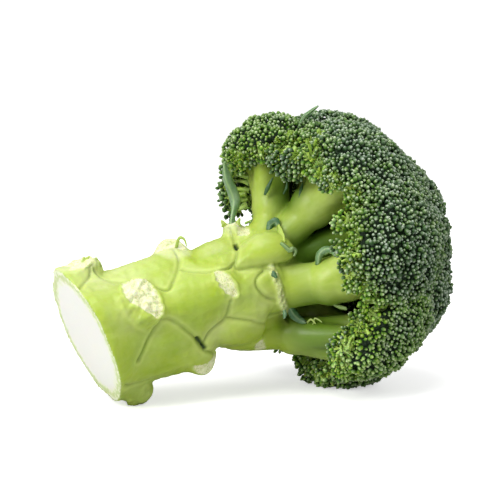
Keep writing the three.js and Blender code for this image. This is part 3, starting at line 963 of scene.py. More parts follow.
def surfaceNet(field, axes):
    # Vertices in the cells that the surface crosses, joined across the grid's edges
    inside = field < 0
    shape = [size - 1 for size in field.shape]
    total = np.zeros(shape, np.int8)
    offsets = [(i, j, k) for i in (0, 1) for j in (0, 1) for k in (0, 1)]
    for i, j, k in offsets:
        total += inside[i : shape[0] + i, j : shape[1] + j, k : shape[2] + k]
    cells = np.argwhere((total > 0) & (total < 8))
    index = np.full(shape, -1, np.int32)
    index[tuple(cells.T)] = np.arange(len(cells))
    value = {o: field[tuple((cells + o).T)] for o in offsets}
    spot = {o: np.stack([axes[a][cells[:, a] + o[a]] for a in range(3)], -1) for o in offsets}
    total, count = np.zeros((len(cells), 3)), np.zeros(len(cells))
    for first in offsets:
        for axis in range(3):
            if first[axis]:
                continue
            second = tuple(1 if a == axis else first[a] for a in range(3))
            crossed = (value[first] < 0) != (value[second] < 0)
            share = value[first] / np.where(crossed, value[first] - value[second], 1)
            where = spot[first] + share[:, None] * (spot[second] - spot[first])
            total += np.where(crossed[:, None], where, 0)
            count += crossed
    points = total / count[:, None]
    quads = []
    for axis in range(3):
        cut = [slice(1, -1)] * 3
        cut[axis] = slice(None)
        lines = inside[tuple(cut)]
        ahead = np.take(lines, range(1, lines.shape[axis]), axis)
        behind = np.take(lines, range(lines.shape[axis] - 1), axis)
        b, c = [a for a in range(3) if a != axis]
        for leaving in (True, False):
            found = np.argwhere(behind & ~ahead if leaving else ahead & ~behind)
            found[:, b] += 1
            found[:, c] += 1
            ring = []
            for stepB, stepC in ((-1, -1), (0, -1), (0, 0), (-1, 0)):
                corner = found.copy()
                corner[:, b] += stepB
                corner[:, c] += stepC
                ring.append(index[tuple(corner.T)])
            if leaving == (axis == 1):
                ring = ring[::-1]
            quads.append(np.stack(ring, -1))
    return points, np.concatenate(quads)


def relax(points, quads, rounds, strength):
    for _ in range(rounds):
        total, count = np.zeros_like(points), np.zeros(len(points))
        for corner in range(4):
            for other in ((corner + 1) % 4, (corner + 3) % 4):
                np.add.at(total, quads[:, corner], points[quads[:, other]])
                np.add.at(count, quads[:, corner], 1)
        points = points + strength * (total / count[:, None] - points)
    return points


def pointNormals(points, quads):
    a, b, c, d = (points[quads[:, corner]] for corner in range(4))
    across = np.cross(c - a, d - b)
    normals = np.zeros_like(points)
    for corner in range(4):
        np.add.at(normals, quads[:, corner], across)
    return unit(normals)


def branchFrame(name):
    direction = unit(headMiddle(name) - hollowMiddle)
    across = np.cross(direction, along)
    across = unit(across) if np.linalg.norm(across) > 0.1 else sideways
    return direction, across


def branchLine(branch):
    name, start, turn, out = branch[:4]
    direction = branchFrame(name)[0]
    if name in limbs["aims"]:
        direction = wayOut(*limbs["aims"][name])
    end = limbs["endRadius"]
    controls = (
        place(start, turn, out),
        place(start + limbs["reach"], turn, out + limbs["rise"]),
        hollowMiddle + direction * (end - limbs["endRun"]),
        hollowMiddle + direction * end,
    )
    return bezier(controls, limbs["steps"])


def branchSizes(branch):
    thick, end = branch[4:6]
    return thick + (end - thick) * np.linspace(0, 1, limbs["steps"]) ** 2


def forkTips(branch):
    # Ends of the smaller branches, on the underside of the floret
    name = branch[0]
    direction, across = branchFrame(name)
    up = np.cross(direction, across)
    spread = math.radians(limbs["forkSpread"] * florets[name][2] / limbs["forkBall"])
    depth = undersideOf(name) + buds["coreGap"] + limbs["forkInto"]
    tips = []
    for index in range(limbs["forks"]):
        turn = 2 * math.pi * (index + 0.5) / limbs["forks"]
        aside = math.cos(turn) * across + math.sin(turn) * up
        lean = math.cos(spread) * direction + math.sin(spread) * aside
        tips.append(hollowMiddle + lean * depth)
    return tips


def branchParts(branch):
    # The thick part of a branch, and the smaller branches that it divides into, with their radii
    line, sizes = branchLine(branch), branchSizes(branch)
    keep = int(limbs["steps"] * limbs["forkAt"]) + 2
    travel = np.linspace(0, 1, limbs["forkSteps"])
    radii = sizes[keep - 1] * 0.62 * (1 - travel) ** 1.2
    radii = radii + limbs["forkRadius"] * (1 - travel) + limbs["forkEnd"] * travel
    forks = []
    for tip in forkTips(branch):
        bend = line[keep + 1] * 0.55 + tip * 0.45
        forks.append(bezier((line[keep - 3], bend, tip), limbs["forkSteps"]))
    return line[:keep], sizes[:keep] * np.linspace(1, 0.9, keep), forks, radii


def buildStalk():
    front, back, limb, height = (stalk[side + "Cell"] for side in ("front", "back", "limb", "height"))
    axes = [
        gridLine([(-14, front), (78, front), (84, limb), (158, 0)]),
        gridLine([(-56, limb), (-30, front), (6, back), (56, 0)]),
        gridLine([(-0.6, height), (66, height), (70, limb), (116, 0)]),
    ]
    grid = np.stack(np.meshgrid(*axes, indexing="ij"), -1).astype(np.float32)
    distance, up, side = stalkCoordinates(grid)
    turn = np.degrees(np.arctan2(side, up))
    stem = np.hypot(up, side) - stalkRadius(distance, turn)
    field = smoothMax(stem, distance - stalk["end"], 6.0)
    for stump in stumps:
        addSwelling(field, axes, stump)
    for stump in stumps:
        addStump(field, axes, stump)
    limbsField = np.full(field.shape, 40.0, np.float32)
    for branch in branches:
        direction, across = branchFrame(branch[0])
        if not branch[6]:
            line, sizes, blend = branchLine(branch), branchSizes(branch), stalk["forkBlend"]
            addLimb(limbsField, axes, line, sizes, blend, direction, limbs["innerFlatness"])
            continue
        line, sizes, forks, radii = branchParts(branch)
        thickWay = unit(np.cross(line[-1] - line[0], across))
        addLimb(limbsField, axes, line, sizes, stalk["forkBlend"], thickWay, limbs["flatness"])
        for fork in forks:
            addLimb(limbsField, axes, fork, radii, stalk["forkBlend"])
    field = smoothMin(field, limbsField, stalk["limbBlend"])
    # The slanting cut, and nothing below the table
    cut = -cutFace(distance, up, side) / math.hypot(1, stalk["cutSlope"])
    field = smoothMax(field, cut, stalk["cutRounding"])
    field = np.maximum(field, -grid[..., 2])
    points, quads = surfaceNet(field, axes)
    return relax(points, quads, 2, 0.4), quads


def lineDistance(lines, distance, turn):
    # Nearest distance in mm to any of the lines, on the unrolled stalk
    nearest = np.full(len(distance), 99.0)
    perDegree = math.radians(1) * stalk["lineRadius"]
    for line in lines:
        smooth = smoothThrough(line, 6 * (len(line) - 1) + 1)
        for (s0, t0), (s1, t1) in zip(smooth[:-1], smooth[1:]):
            x, y = distance - s0, turnBetween(turn, t0) * perDegree
            dx, dy = s1 - s0, (t1 - t0) * perDegree
            travel = np.clip((x * dx + y * dy) / (dx * dx + dy * dy), 0, 1)
            nearest = np.minimum(nearest, np.hypot(x - travel * dx, y - travel * dy))
    return nearest


def outlineDistance(outline, distance, turn):
    # Distance in mm to a closed outline on the unrolled stalk, below zero inside it
    ring = outline + [outline[0]]
    nearest = lineDistance([ring], distance, turn)
    middle = np.mean(outline, axis=0)[1]
    x, y = distance, middle + turnBetween(turn, middle)
    inside = np.zeros(len(distance), bool)
    smooth = smoothThrough(ring, 6 * len(outline) + 1)
    for (s0, t0), (s1, t1) in zip(smooth[:-1], smooth[1:]):
        crosses = (t0 > y) != (t1 > y)
        step = t1 - t0 if t1 != t0 else 1e-9
        inside ^= crosses & (x < s0 + (y - t0) / step * (s1 - s0))
    return np.where(inside, -nearest, nearest)


def softNoise(points, scale, seed):
    # Smooth noise from summed waves, between about -1 and 1
    random = np.random.default_rng(seed)
    value = np.zeros(len(points))
    for octave in range(3):
        for _ in range(4):
            way = unit(random.normal(size=3))
            phase = points @ way * 2 * math.pi / scale * 2**octave
            value += np.sin(phase + random.uniform(0, 6.3)) / 2**octave
    return value / 4.2


def patchAmount(patches, distance, turn):
    amount = np.zeros(len(distance))
    for at, middle, size, strength in patches:
        across = np.radians(turnBetween(turn, middle)) * stalk["patchRadius"]
        amount = np.maximum(amount, strength * np.exp(-((distance - at) ** 2 + across**2) / size**2))
    return amount


def stalkDetail(points, quads):
    # Works the skin's relief into the points, and makes the masks for its colours
    distance, up, side = stalkCoordinates(points)
    spread = np.hypot(up, side)
    turn = np.degrees(np.arctan2(side, up))
    normals = pointNormals(points, quads)
    cutWay = -unit(along + stalk["cutSlope"] * upright + stalk["cutSideSlope"] * sideways)
    onPlane = np.abs(cutFace(distance, up, side)) < 1.2
    cut = ramp(normals @ cutWay, 0.75, 0.15) * onPlane
    proud = spread - stalkRadius(distance, turn)  # how far out of the stem a point stands
    belowCrown = ramp(distance, relief["skinEnd"], -relief["skinFade"])
    onSkin = (1 - ramp(proud, 2.0, 4.0)) * belowCrown * (1 - cut)
    # Grooves between raised panels, with broad and fine lumps over them
    path = lineDistance(grooves, distance, turn)
    fade = np.clip(0.75 + 0.5 * softNoise(points, 22.0, 8), 0.3, 1)
    groove = np.exp(-((path / relief["grooveWidth"]) ** 2)) * fade
    # lip is a painted highlight along the raised edge beside each groove
    lip = np.exp(-(((path - 1.5) / 0.6) ** 2))
    panel = 1 - np.exp(-path / relief["panelReach"])
    push = relief["panelRise"] * (panel - 0.6) - relief["grooveDepth"] * groove
    broadSize, broadHigh = relief["broadLumps"]
    fineSize, fineHigh = relief["fineLumps"]
    push += broadHigh * softNoise(points, broadSize, 3) + fineHigh * softNoise(points, fineSize, 4)
    # The torn ridge, the slits with their painted shade, and the soft edges with their painted highlight
    wide, high = relief["ridge"]
    torn = 1 + 0.8 * softNoise(points, 2.0, 5)
    onRidge = np.exp(-((lineDistance(ridges, distance, turn) / wide) ** 4))
    push += high * onRidge * torn
    wide, deep = relief["slit"]
    slit = np.exp(-((lineDistance(slits, distance, turn) / wide) ** 2))
    push -= deep * slit
    scar = 0.6 * np.clip(onRidge * torn, 0, 1)
    wide, high = relief["softEdge"]
    for edgeLine in paleEdges:
        away = lineDistance([edgeLine], distance, turn)
        push += high * np.exp(-((away / wide) ** 2))
        lip = np.maximum(lip, np.exp(-((away / 0.7) ** 2)))
    patches = 1 + 0.35 * softNoise(points, 5.0, 14)
    deeper = np.clip(patchAmount(deeperPatches, distance, turn) * patches, 0, 1)
    paler = np.clip(patchAmount(palerPatches, distance, turn) * patches, 0, 1)
    frayed = np.zeros(len(points))
    for number, outline in enumerate(scarOutlines):
        edge = outlineDistance(outline, distance, turn) + 0.5 * softNoise(points, 3.0, 9 + number)
        inside = ramp(edge, 0.4, -0.7)
        scar = np.maximum(scar, inside)
        roughness = 1.0 if number == 0 else 0.25  # the first and biggest is the rough one
        fibres = np.clip(0.35 + 0.9 * softNoise(points, 3.2, 6), 0, 1)
        frayed = np.maximum(frayed, inside * fibres * roughness)
        rim = relief["scarRim"] * np.exp(-(((edge - 0.6) / 0.7) ** 2))
        push = push * (1 - 0.8 * inside) - relief["scarSunk"] * inside + rim
        torn = 0.6 * softNoise(points, 3.4, 17) + 0.35 * softNoise(points, 1.6, 18)
        push += inside * roughness * torn
        # A painted highlight round the scar's raised rim
        lip = np.maximum(lip, np.exp(-(((edge - 0.8) / 0.6) ** 2)))
    for number, stump in enumerate(stumps):
        if number in unscarred:
            continue
        body, face = stumpShape(points, stump)
        flat = (np.abs(face) < 0.7) & (body < 0.6)
        inside = ramp(body, 0.3, -0.8) * flat
        if number not in darkSided:
            paler = np.maximum(paler, 0.75 * ramp(body, 2.2, -2.5) * ramp(face, -6.0, 5.0))
        scar = np.maximum(scar, inside)
        fibres = np.clip(0.55 * softNoise(points, 2.6, 6) + 0.25, 0, 1)
        frayed = np.maximum(frayed, inside * fibres)
        push = np.where(flat, push * 0.1 + 0.35 * softNoise(points, 1.8, 7) * inside, push)
        lip = np.where(flat, ramp(body, -1.4, 0.8), lip)
    # The stumps near the cut are lumpy
    knob = ramp(proud, 0.8, 2.5) * ramp(distance, 30, -4) * (1 - cut)
    lumps = 0.9 * softNoise(points, 5.0, 21) * knob
    moved = points + normals * (push * onSkin + lumps)[:, None]
    moved[:, 2] = np.where(points[:, 2] < 0.3, np.maximum(moved[:, 2], 0), moved[:, 2])
    # Painted shade: darker green deep in the hollow between the branches, and on their sides that face the
    # crown or lie in its shadow
    paintedHollowShade = ramp(distance, 79, 10) * ramp(spread, 26, -10)
    outwards = unit(up[:, None] * upright + side[:, None] * sideways)
    inwards = np.clip(0.12 - np.einsum("ij,ij->i", normals, outwards), 0, 1) / 0.75
    crownwards = ramp(normals @ along, 0.3, 0.5) * ramp(spread, 22, 6)
    paintedSideShade = 0.85 * np.clip(inwards + 0.9 * crownwards, 0, 1) * ramp(distance, 68, 8)
    for middle, size, strength in shadedPlaces:
        away = np.linalg.norm(points - middle, axis=1)
        paintedSideShade = np.maximum(paintedSideShade, strength * np.exp(-((away / size) ** 4)))
    # Grain that fans out with the branches
    fan = 23.0 + np.maximum(distance - 55, 0) * 0.75
    grain = np.stack([up / fan * 9, side / fan * 9, distance * 0.035], -1)
    masks = {
        "cut": cut,
        "cutDepth": ramp(proud, 0, -14.0),
        # Painted shade in the grooves and the slits
        "groove": np.maximum(groove * 0.42, slit) * onSkin * (1 - 0.8 * scar),
        "slit": slit * onSkin,
        # lip: painted highlight along raised edges
        "lip": lip * onSkin * (1 - cut),
        "scar": scar * (1 - cut),
        "frayed": frayed,
        "deep": ramp(distance, 70, 30),
        # inner: painted shade between the branches and on their shaded sides
        "inner": np.maximum(paintedHollowShade, paintedSideShade),
        "deeper": deeper * onSkin,
        "paler": paler * (1 - cut) * belowCrown,
        "centre": ramp(path, 0.8, 5.0),
        "grain": grain,
    }
    return moved, masks


stalkPoints, stalkQuads = buildStalk()
stalkPoints, stalkMasks = stalkDetail(stalkPoints, stalkQuads)
makePiece("stalk_and_branches", stalkPoints, [stalkQuads], stalkMasks, stalkSkin, ["stalk"])
print("stalk:", len(stalkQuads), "faces")


# Florets


def budTemplate():
    # An ovoid bud with four sepals that close to a point; rows from foot to tip
    rows = [(-0.75, 0.45), (-0.28, 0.88), (0.16, 1.0), (0.56, 0.76), (0.86, 0.38)]
    sides = buds["sides"]
    turn = np.linspace(0, 2 * math.pi, sides, endpoint=False)
    points, height = [], []
    for level, size in rows:
        sepals = 1 + 0.07 * np.cos(4 * turn) * (level > -0.5)
        ring = [np.cos(turn) * size * sepals, np.sin(turn) * size * sepals, np.full(sides, level)]
        points.append(np.stack(ring, -1))
        height += [level] * sides
    points = np.concatenate(points + [[[0, 0, 1.0]]])
    height = (np.array(height + [1.0]) + 0.75) / 1.75
    return points, ringQuads(len(rows), sides), tipFaces(len(rows), sides), height


def placeBuds(where, axes, sizes, young, tint, random):
    # One bud at each place, pointing along its axis
    template, quads, caps, height = budTemplate()
    axes = unit(axes)
    helper = np.where(np.abs(axes[:, 2:3]) < 0.9, np.array([[0.0, 0, 1]]), np.array([[1.0, 0, 0]]))
    first = unit(np.cross(axes, helper))
    second = np.cross(axes, first)
    spin = random.uniform(0, 2 * math.pi, len(where))
    c, s = np.cos(spin)[:, None], np.sin(spin)[:, None]
    first, second = c * first + s * second, c * second - s * first
    wide = sizes[:, None, None] * buds["radius"]
    tall = sizes[:, None, None] * buds["long"]
    points = (
        where[:, None]
        + template[None, :, 0:1] * wide * first[:, None]
        + template[None, :, 1:2] * wide * second[:, None]
        + template[None, :, 2:3] * tall * axes[:, None]
    )
    start = np.arange(len(where))[:, None, None] * len(template)
    faces = [(quads[None] + start).reshape(-1, 4), (caps[None] + start).reshape(-1, 3)]
    masks = {
        "budHeight": np.tile(height, len(where)),
        "budYoung": np.repeat(young, len(template)),
        "budTint": np.repeat(tint, len(template)),
    }
    return points.reshape(-1, 3), faces, masks


def headProfile(name, rimRadius, underside, shrink=0.0, deeper=0.0):
    # The floret's outline turned round its branch: dome, rolled rim, and some way back underneath
    offset = np.linalg.norm(headMiddle(name) - hollowMiddle)
    ball = florets[name][2] - shrink
    hollow = undersideOf(name) + deeper
    x = (offset**2 + (hollow + rimRadius) ** 2 - (ball - rimRadius) ** 2) / (2 * offset)
    y = math.sqrt(max((hollow + rimRadius) ** 2 - x**2, 1.0))
    outerEnd = math.atan2(y, x - offset)
    dome = np.linspace(0, outerEnd, 60)
    line = [np.stack([offset + ball * np.cos(dome), ball * np.sin(dome)], -1)]
    hollowTurn = math.atan2(y, x)
    back = hollowTurn - math.pi
    if back < outerEnd:
        back += 2 * math.pi
    turn = np.linspace(outerEnd, back, 24)
    line.append(np.stack([x + rimRadius * np.cos(turn), y + rimRadius * np.sin(turn)], -1)[1:])
    inner = np.linspace(hollowTurn, hollowTurn - underside / hollow, 20)
    inner = inner[inner > 0.02]
    line.append(np.stack([hollow * np.cos(inner), hollow * np.sin(inner)], -1)[1:])
    return np.concatenate(line), ball * outerEnd


def lengthAlong(line):
    # How far along the line each of its points lies
    steps = np.linalg.norm(np.diff(line, axis=0), axis=1)
    return np.concatenate([[0], np.cumsum(steps)])


def spreadOver(line, spacing, random, jitter):
    # Points spread evenly over a turned surface: (run along its outline, turn)
    run = lengthAlong(line)
    steps = np.linalg.norm(np.diff(line, axis=0), axis=1)
    bands = steps * 2 * math.pi * (line[1:, 1] + line[:-1, 1]) / 2
    area = np.concatenate([[0], np.cumsum(bands)])
    count = int(area[-1] / (spacing**2 * 0.866))
    share = (np.arange(count) + 0.5) / count * area[-1]
    runs = np.interp(share, area, run)
    turns = np.arange(count) * math.pi * (3 - math.sqrt(5))
    radius = np.interp(runs, run, line[:, 1])
    runs = np.clip(runs + random.normal(0, jitter * spacing, count), 0, run[-1])
    turns = turns + random.normal(0, jitter * spacing, count) / np.maximum(radius, spacing)
    return runs, turns


def turnedPoints(name, line, runs, turns):
    direction, across = branchFrame(name)
    up = np.cross(direction, across)
    run = lengthAlong(line)
    ways = np.cos(turns)[:, None] * across + np.sin(turns)[:, None] * up
    x, y = np.interp(runs, run, line[:, 0]), np.interp(runs, run, line[:, 1])
    slope = np.gradient(line, run, axis=0)
    dx, dy = np.interp(runs, run, slope[:, 0]), np.interp(runs, run, slope[:, 1])
    where = hollowMiddle + x[:, None] * direction + y[:, None] * ways
    normals = unit(dy[:, None] * direction - dx[:, None] * ways)
    return where, normals


allMiddles = {name: headMiddle(name) for name in florets}


def crownReach(directions):
    # Blended distance from the crown's middle to the outside of the florets
    reaches = []
    for name, (_, _, ball, _) in florets.items():
        middle = allMiddles[name] - crownMiddle
        forward = directions @ middle
        inside = ball**2 - middle @ middle + forward**2
        reaches.append(np.where(inside > 0, forward + np.sqrt(np.maximum(inside, 0)), 0))
    reaches = np.array(reaches)
    blend = buds["blend"]
    return blend * np.log(np.exp(reaches / blend).sum(0)), reaches


def youngness(where):
    # How near a bud is to the middle of one of the loose yellow-green places
    amount = np.zeros(len(where))
    for x, y, z, size in looseSpots:
        amount = np.maximum(amount, 1 - np.linalg.norm(where - (x, y, z), axis=1) / size)
    return np.clip(amount, 0, 1)


stemParts = []  # fine stalks, gathered here for the twigs' piece

# Loose yellow-green places between the florets, where the viewer sees them: middle, size
looseSpots = [
    (95.0, -42.0, 69.0, 14.0),
    (93.0, -32.0, 84.0, 10.0),
    (96.0, -50.0, 37.0, 15.0),
    (96.0, -46.0, 13.0, 17.0),
    (72.0, 8.0, 92.0, 10.0),
]

# A gap beside the long leaf that is seen through: from, to, radius
clearing = ((69, 6, 74.5), (89, 51, 71), 5.0)


def inClearing(points):
    start, end = (np.array(point, float) for point in clearing[:2])
    run = end - start
    travel = np.clip((points - start) @ run / (run @ run), 0, 1)
    return np.linalg.norm(points - start - travel[..., None] * run, axis=-1) < clearing[2]


def buildFloret(name, random):
    line, domeLength = headProfile(name, buds["rimRadius"], buds["underside"], buds["setIn"])
    runs, turns = spreadOver(line, buds["spacing"], random, buds["jitter"])
    where, normals = turnedPoints(name, line, runs, turns)
    past = runs - domeLength  # how far a bud lies past the dome, on the rim and under it
    # Bunches of buds
    bunchPlaces = spreadOver(line, buds["clusterSpacing"], random, buds["jitter"])
    bunches = turnedPoints(name, line, *bunchPlaces)[0]
    gap = np.linalg.norm(where[:, None] - bunches[None], axis=2)
    nearest = gap.argmin(1)
    closeness = gap[np.arange(len(where)), nearest] / (buds["clusterSpacing"] / 2)
    away = where - bunches[nearest]
    away -= normals * np.einsum("ij,ij->i", away, normals)[:, None]
    axes = unit(normals + buds["fan"] * away / (buds["clusterSpacing"] / 2))
    more = 1 + buds["rimRelief"] * ramp(past, -7, 8)
    rise = buds["clusterRise"] * (0.55 - np.minimum(closeness, 1.3) ** 2) * more
    axes = unit(axes + random.normal(0, buds["tilt"], axes.shape))
    # Neighbouring florets run together on the dome
    fromMiddle = where - crownMiddle
    reach = np.linalg.norm(fromMiddle, axis=1)
    outwards = fromMiddle / reach[:, None]
    blended, reaches = crownReach(outwards)
    blended, reaches = blended - buds["setIn"], reaches - buds["setIn"]
    onDome = ramp(past, 0, -6.0)
    own = list(florets).index(name)
    others = np.delete(reaches, own, 0).max(0)
    keep = (reach > others - buds["buried"]) | (onDome <= 0)
    lifted = np.clip(blended - reach, 0, 4.0) * onDome
    where = where + outwards * lifted[:, None]
    where = where + normals * (rise + random.normal(0, 0.2, len(where)))[:, None]
    # Buds that lie inside another floret are left out
    for other in florets:
        if other == name:
            continue
        deep = florets[other][2] - np.linalg.norm(where - allMiddles[other], axis=1)
        inHollow = np.linalg.norm(where - hollowMiddle, axis=1) < undersideOf(other) + 1
        keep &= ~((deep > buds["buried"] + 0.8) & ~inHollow)
    keep &= ~inClearing(where)
    where[:, 2] = np.maximum(where[:, 2], buds["radius"] * 0.9)
    # Younger under the rim, in the loose places and near the table
    young = buds["young"].get(name, buds["young"]["others"]) + 0.3 * ramp(past, -2.0, 6.0) + youngness(where)
    young = young + 0.24 * ramp(past, -13, 10) + 0.2 * ramp(where[:, 2], 36, -20)
    spots = 0.12 * softNoise(where, 18.0, 12)
    young = np.clip(young + spots + random.normal(0, 0.10, len(where)), 0, 1)
    keep &= (past < 0) | (random.uniform(0, 1, len(where)) < buds["rimKeep"])
    keep &= random.uniform(0, 1, len(where)) > 0.5 * youngness(where)
    sizes = random.uniform(*buds["sizes"], len(where)) * (1 - 0.1 * young)
    shades = 0.5 + 0.3 * softNoise(where, 26.0, 11)
    tint = np.clip(shades + random.uniform(-0.4, 0.4, len(where)), 0, 1)
    parts = [placeBuds(where[keep], axes[keep], sizes[keep], young[keep], tint[keep], random)]
    parts.append(buildCore(name))
    # Fine stalks under the rim's buds, gathered towards the middle of each bunch
    stemmed = np.where(keep & (runs > domeLength - 1.0))[0] if isOuter(name) else []
    direction = branchFrame(name)[0]
    radii = np.linspace(1.7, 0.9, 5) * buds["stemRadius"]
    for index in stemmed:
        end = where[index] - axes[index] * 0.9
        node = bunches[nearest[index]] - normals[index] * buds["stemLength"] * random.uniform(0.8, 1.1)
        knee = end * 0.55 + node * 0.45 - direction * random.uniform(0.2, 1.2)
        stem = bezier((node, knee, end), 5)
        stemParts.append(tube(stem, radii, 5, random.uniform(0, 0.5)))
    return mergeParts(parts), int(keep.sum())


def buildCore(name):
    # The flesh under the buds: near black on the dome as painted shade between the buds, and yellow-green
    # under the rim
    rimRadius, underside, depth = buds["coreRimRadius"], buds["coreUnderside"], buds["coreDepth"]
    line, domeLength = headProfile(name, rimRadius, underside, depth + buds["setIn"], buds["coreGap"])
    rows, sides = buds["coreGrid"]
    runs = np.linspace(0.2, lengthAlong(line)[-1], rows)
    turns = np.linspace(0, 2 * math.pi, sides, endpoint=False)
    runs, turns = (grid.ravel() for grid in np.meshgrid(runs, turns, indexing="ij"))
    where = turnedPoints(name, line, runs, turns)[0]
    where[:, 2] = np.maximum(where[:, 2], 0.3)
    quads = ringQuads(rows, sides)[:, [0, 3, 2, 1]]  # turned over, to face outwards
    under = ramp(runs - domeLength, 4, 6)
    masks = {
        # painted shade: a low budHeight makes the core near black under the dome
        "budHeight": 0.15 + 0.25 * under,
        "budYoung": under * 0.8,
        "budTint": np.full(len(where), 0.4),
    }
    return where, [quads], masks


def spray(foot, heart, reach, count, young, random):
    # A small loose bunch: a stem from its foot, fine stalks fanning out, and a bud on each
    foot, heart = np.asarray(foot, float), np.asarray(heart, float)
    way = unit(heart - foot)
    fork = heart - way * reach * 0.75
    side = unit(np.cross(way, np.array([0.31, 0.55, 0.77])))
    other = np.cross(way, side)
    index = np.arange(count) + 0.5
    lean = np.arccos(1 - index / count * 1.35)[:, None]
    turn = (index * math.pi * (3 - math.sqrt(5)) + random.uniform(0, 6.3))[:, None]
    ways = np.cos(lean) * way + np.sin(lean) * (np.cos(turn) * side + np.sin(turn) * other)
    reaches = (reach * random.uniform(0.78, 1.1, count))[:, None]
    ends = heart + ways * reaches + random.normal(0, 0.25, (count, 3))
    ends[:, 2] = np.maximum(ends[:, 2], buds["radius"])
    axes = unit(ends - fork + random.normal(0, 0.5, ends.shape))
    sizes = random.uniform(0.8, 1.15, count)
    youth = np.clip(young + random.normal(0, 0.12, count), 0, 1)
    tint = random.uniform(0, 1, count)
    budPart = placeBuds(ends, axes, sizes, youth, tint, random)
    bend = (foot + fork) / 2 + random.normal(0, 0.6, 3)
    stems = [tube(bezier((foot, bend, fork), 6), np.linspace(1.3, 0.8, 6), 6, random.uniform(0, 0.4))]
    for end, axis in zip(ends, axes):
        knee = (fork + end) / 2 + way * 0.4 + random.normal(0, 0.25, 3)
        line = bezier((fork - way * 0.4, knee, end - axis * 0.8), 5)
        stems.append(tube(line, np.linspace(0.5, 0.36, 5), 5, random.uniform(0, 0.5)))
    return budPart, mergeParts(stems)


# Loose bunches: foot, heart, reach, count, youngness. Those of the upper floret hang beside the
# top floret's branch; the others lie low on the back of the crown's upper left
looseBunches = {
    "floret_upper": [
        ((86, -12, 104), (79.2, -11.7, 97.6), 4.6, 30, 0.15),
        ((88, -15, 102), (80.8, -14.9, 94.8), 4.4, 28, 0.2),
        ((88, -17, 104), (82.4, -17.4, 98.9), 4.6, 30, 0.1),
        ((89, -18, 100), (83.4, -18.1, 94.4), 4.0, 24, 0.2),
        ((84, -9, 104), (78.4, -9.4, 100.4), 4.2, 26, 0.2),
    ],
    "floret_upper_back": [
        ((76, 12, 88), (72.5, 24, 90), 4.6, 30, 0.35),
        ((75.5, 11, 85), (70.0, 22, 86), 4.4, 26, 0.35),
        ((75.5, 12, 82), (71.0, 24, 81), 4.2, 24, 0.3),
        ((75, 12, 80), (73.5, 21, 77), 3.8, 22, 0.4),
        ((74, 12, 84), (67.5, 17, 82), 3.4, 16, 0.3),
        ((75, 13, 86), (74.0, 20, 84), 4.0, 22, 0.5),
        ((75, 11, 91), (68.5, 18, 93), 4.2, 22, 0.3),
        ((75, 12, 79), (69.5, 19, 76), 3.2, 14, 0.25),
    ],
}


# The bunches round each outer floret's rim, with the range that each value is drawn from
rimSprays = {
    "perFloret": 22,
    "underside": 8.0,  # how far back under the rim they can hang
    "below": (5.0, 11.0),  # how far they hang under the dome's edge
    "reach": (2.6, 4.0),
    "buds": (10, 18),
    "young": (0.25, 0.8),
}


def rimBunches(name, random):
    # Bunches that hang below a floret's rim where no neighbour covers it
    line, domeLength = headProfile(name, buds["rimRadius"], rimSprays["underside"], buds["setIn"])
    count = rimSprays["perFloret"]
    turns = (np.arange(count) + random.uniform(-0.3, 0.3, count)) * 2 * math.pi / count
    runs = domeLength + random.uniform(*rimSprays["below"], count)
    where, normals = turnedPoints(name, line, runs, turns)
    branch = next(branch for branch in branches if branch[0] == name)
    forks = np.concatenate([smoothThrough(fork, 25)[8:] for fork in branchParts(branch)[2]])
    bunches = []
    for heart, normal in zip(where, normals):
        covered = any(
            florets[other][2] - np.linalg.norm(heart - allMiddles[other]) > 1.5
            for other in florets
            if other != name
        )
        if covered or heart[2] < 5 or inClearing(heart[None])[0]:
            continue
        heart = heart + normal * random.uniform(-0.8, 0.6)
        foot = forks[np.linalg.norm(forks - heart, axis=1).argmin()]
        reach = random.uniform(*rimSprays["reach"])
        size = random.integers(*rimSprays["buds"])
        bunches.append((foot, heart, reach, size, random.uniform(*rimSprays["young"])))
    return bunches


budCount = 0
for number, floret in enumerate(florets):
    chance = np.random.default_rng(layout["seed"] + number)
    part, made = buildFloret(floret, chance)
    parts = [part]
    bunches = list(looseBunches.get(floret, []))
    if isOuter(floret):
        bunches += rimBunches(floret, chance)
    for foot, heart, reach, count, young in bunches:
        budPart, stems = spray(foot, heart, reach, count, young, chance)
        parts.append(budPart)
        stemParts.append(stems)
        made += count
    points, faces, masks = mergeParts(parts)
    points[:, 2] = np.maximum(points[:, 2], 0)
    makePiece("buds_" + floret[7:], points, faces, masks, budSkin, [floret])
    budCount += made
print("florets:", budCount, "buds")


# Twigs under the florets

twigs = {
    "perFloret": 90,
    "radius": 0.55,
    "sides": 5,
    "taper": (2.1, 0.85),  # how thick they start and end, as a share of the radius
    "startsAt": (10, 21),  # of the 25 points along a fork
    "underside": 20.0,  # how far back under the rim they reach
    "fromDome": 8.0,  # and how far past the dome they begin
}


def buildTwigs(random):
    parts = []
    for branch in branches:
        if not branch[6]:
            continue
        name = branch[0]
        forks = [smoothThrough(fork, 25) for fork in branchParts(branch)[2]]
        tips = np.array([fork[-1] for fork in forks])
        direction = branchFrame(name)[0]
        line, domeLength = headProfile(name, buds["rimRadius"], twigs["underside"], buds["setIn"])
        first, last = domeLength + twigs["fromDome"], lengthAlong(line)[-1]
        runs = random.uniform(first, last, twigs["perFloret"])
        turns = random.uniform(0, 2 * math.pi, twigs["perFloret"])
        ends, normals = turnedPoints(name, line, runs, turns)
        for end in ends - normals * 1.0:
            fork = forks[np.linalg.norm(tips - end, axis=1).argmin()]
            foot = fork[random.integers(*twigs["startsAt"])]
            bend = foot * 0.45 + end * 0.55 - direction * random.uniform(0.0, 1.5)
            radii = np.linspace(*twigs["taper"], 6) * (twigs["radius"] * random.uniform(0.7, 1.4))
            curve = bezier((foot, bend, end), 6)
            parts.append(tube(curve, radii, twigs["sides"], random.uniform(0, 0.6)))
    return mergeParts(parts)


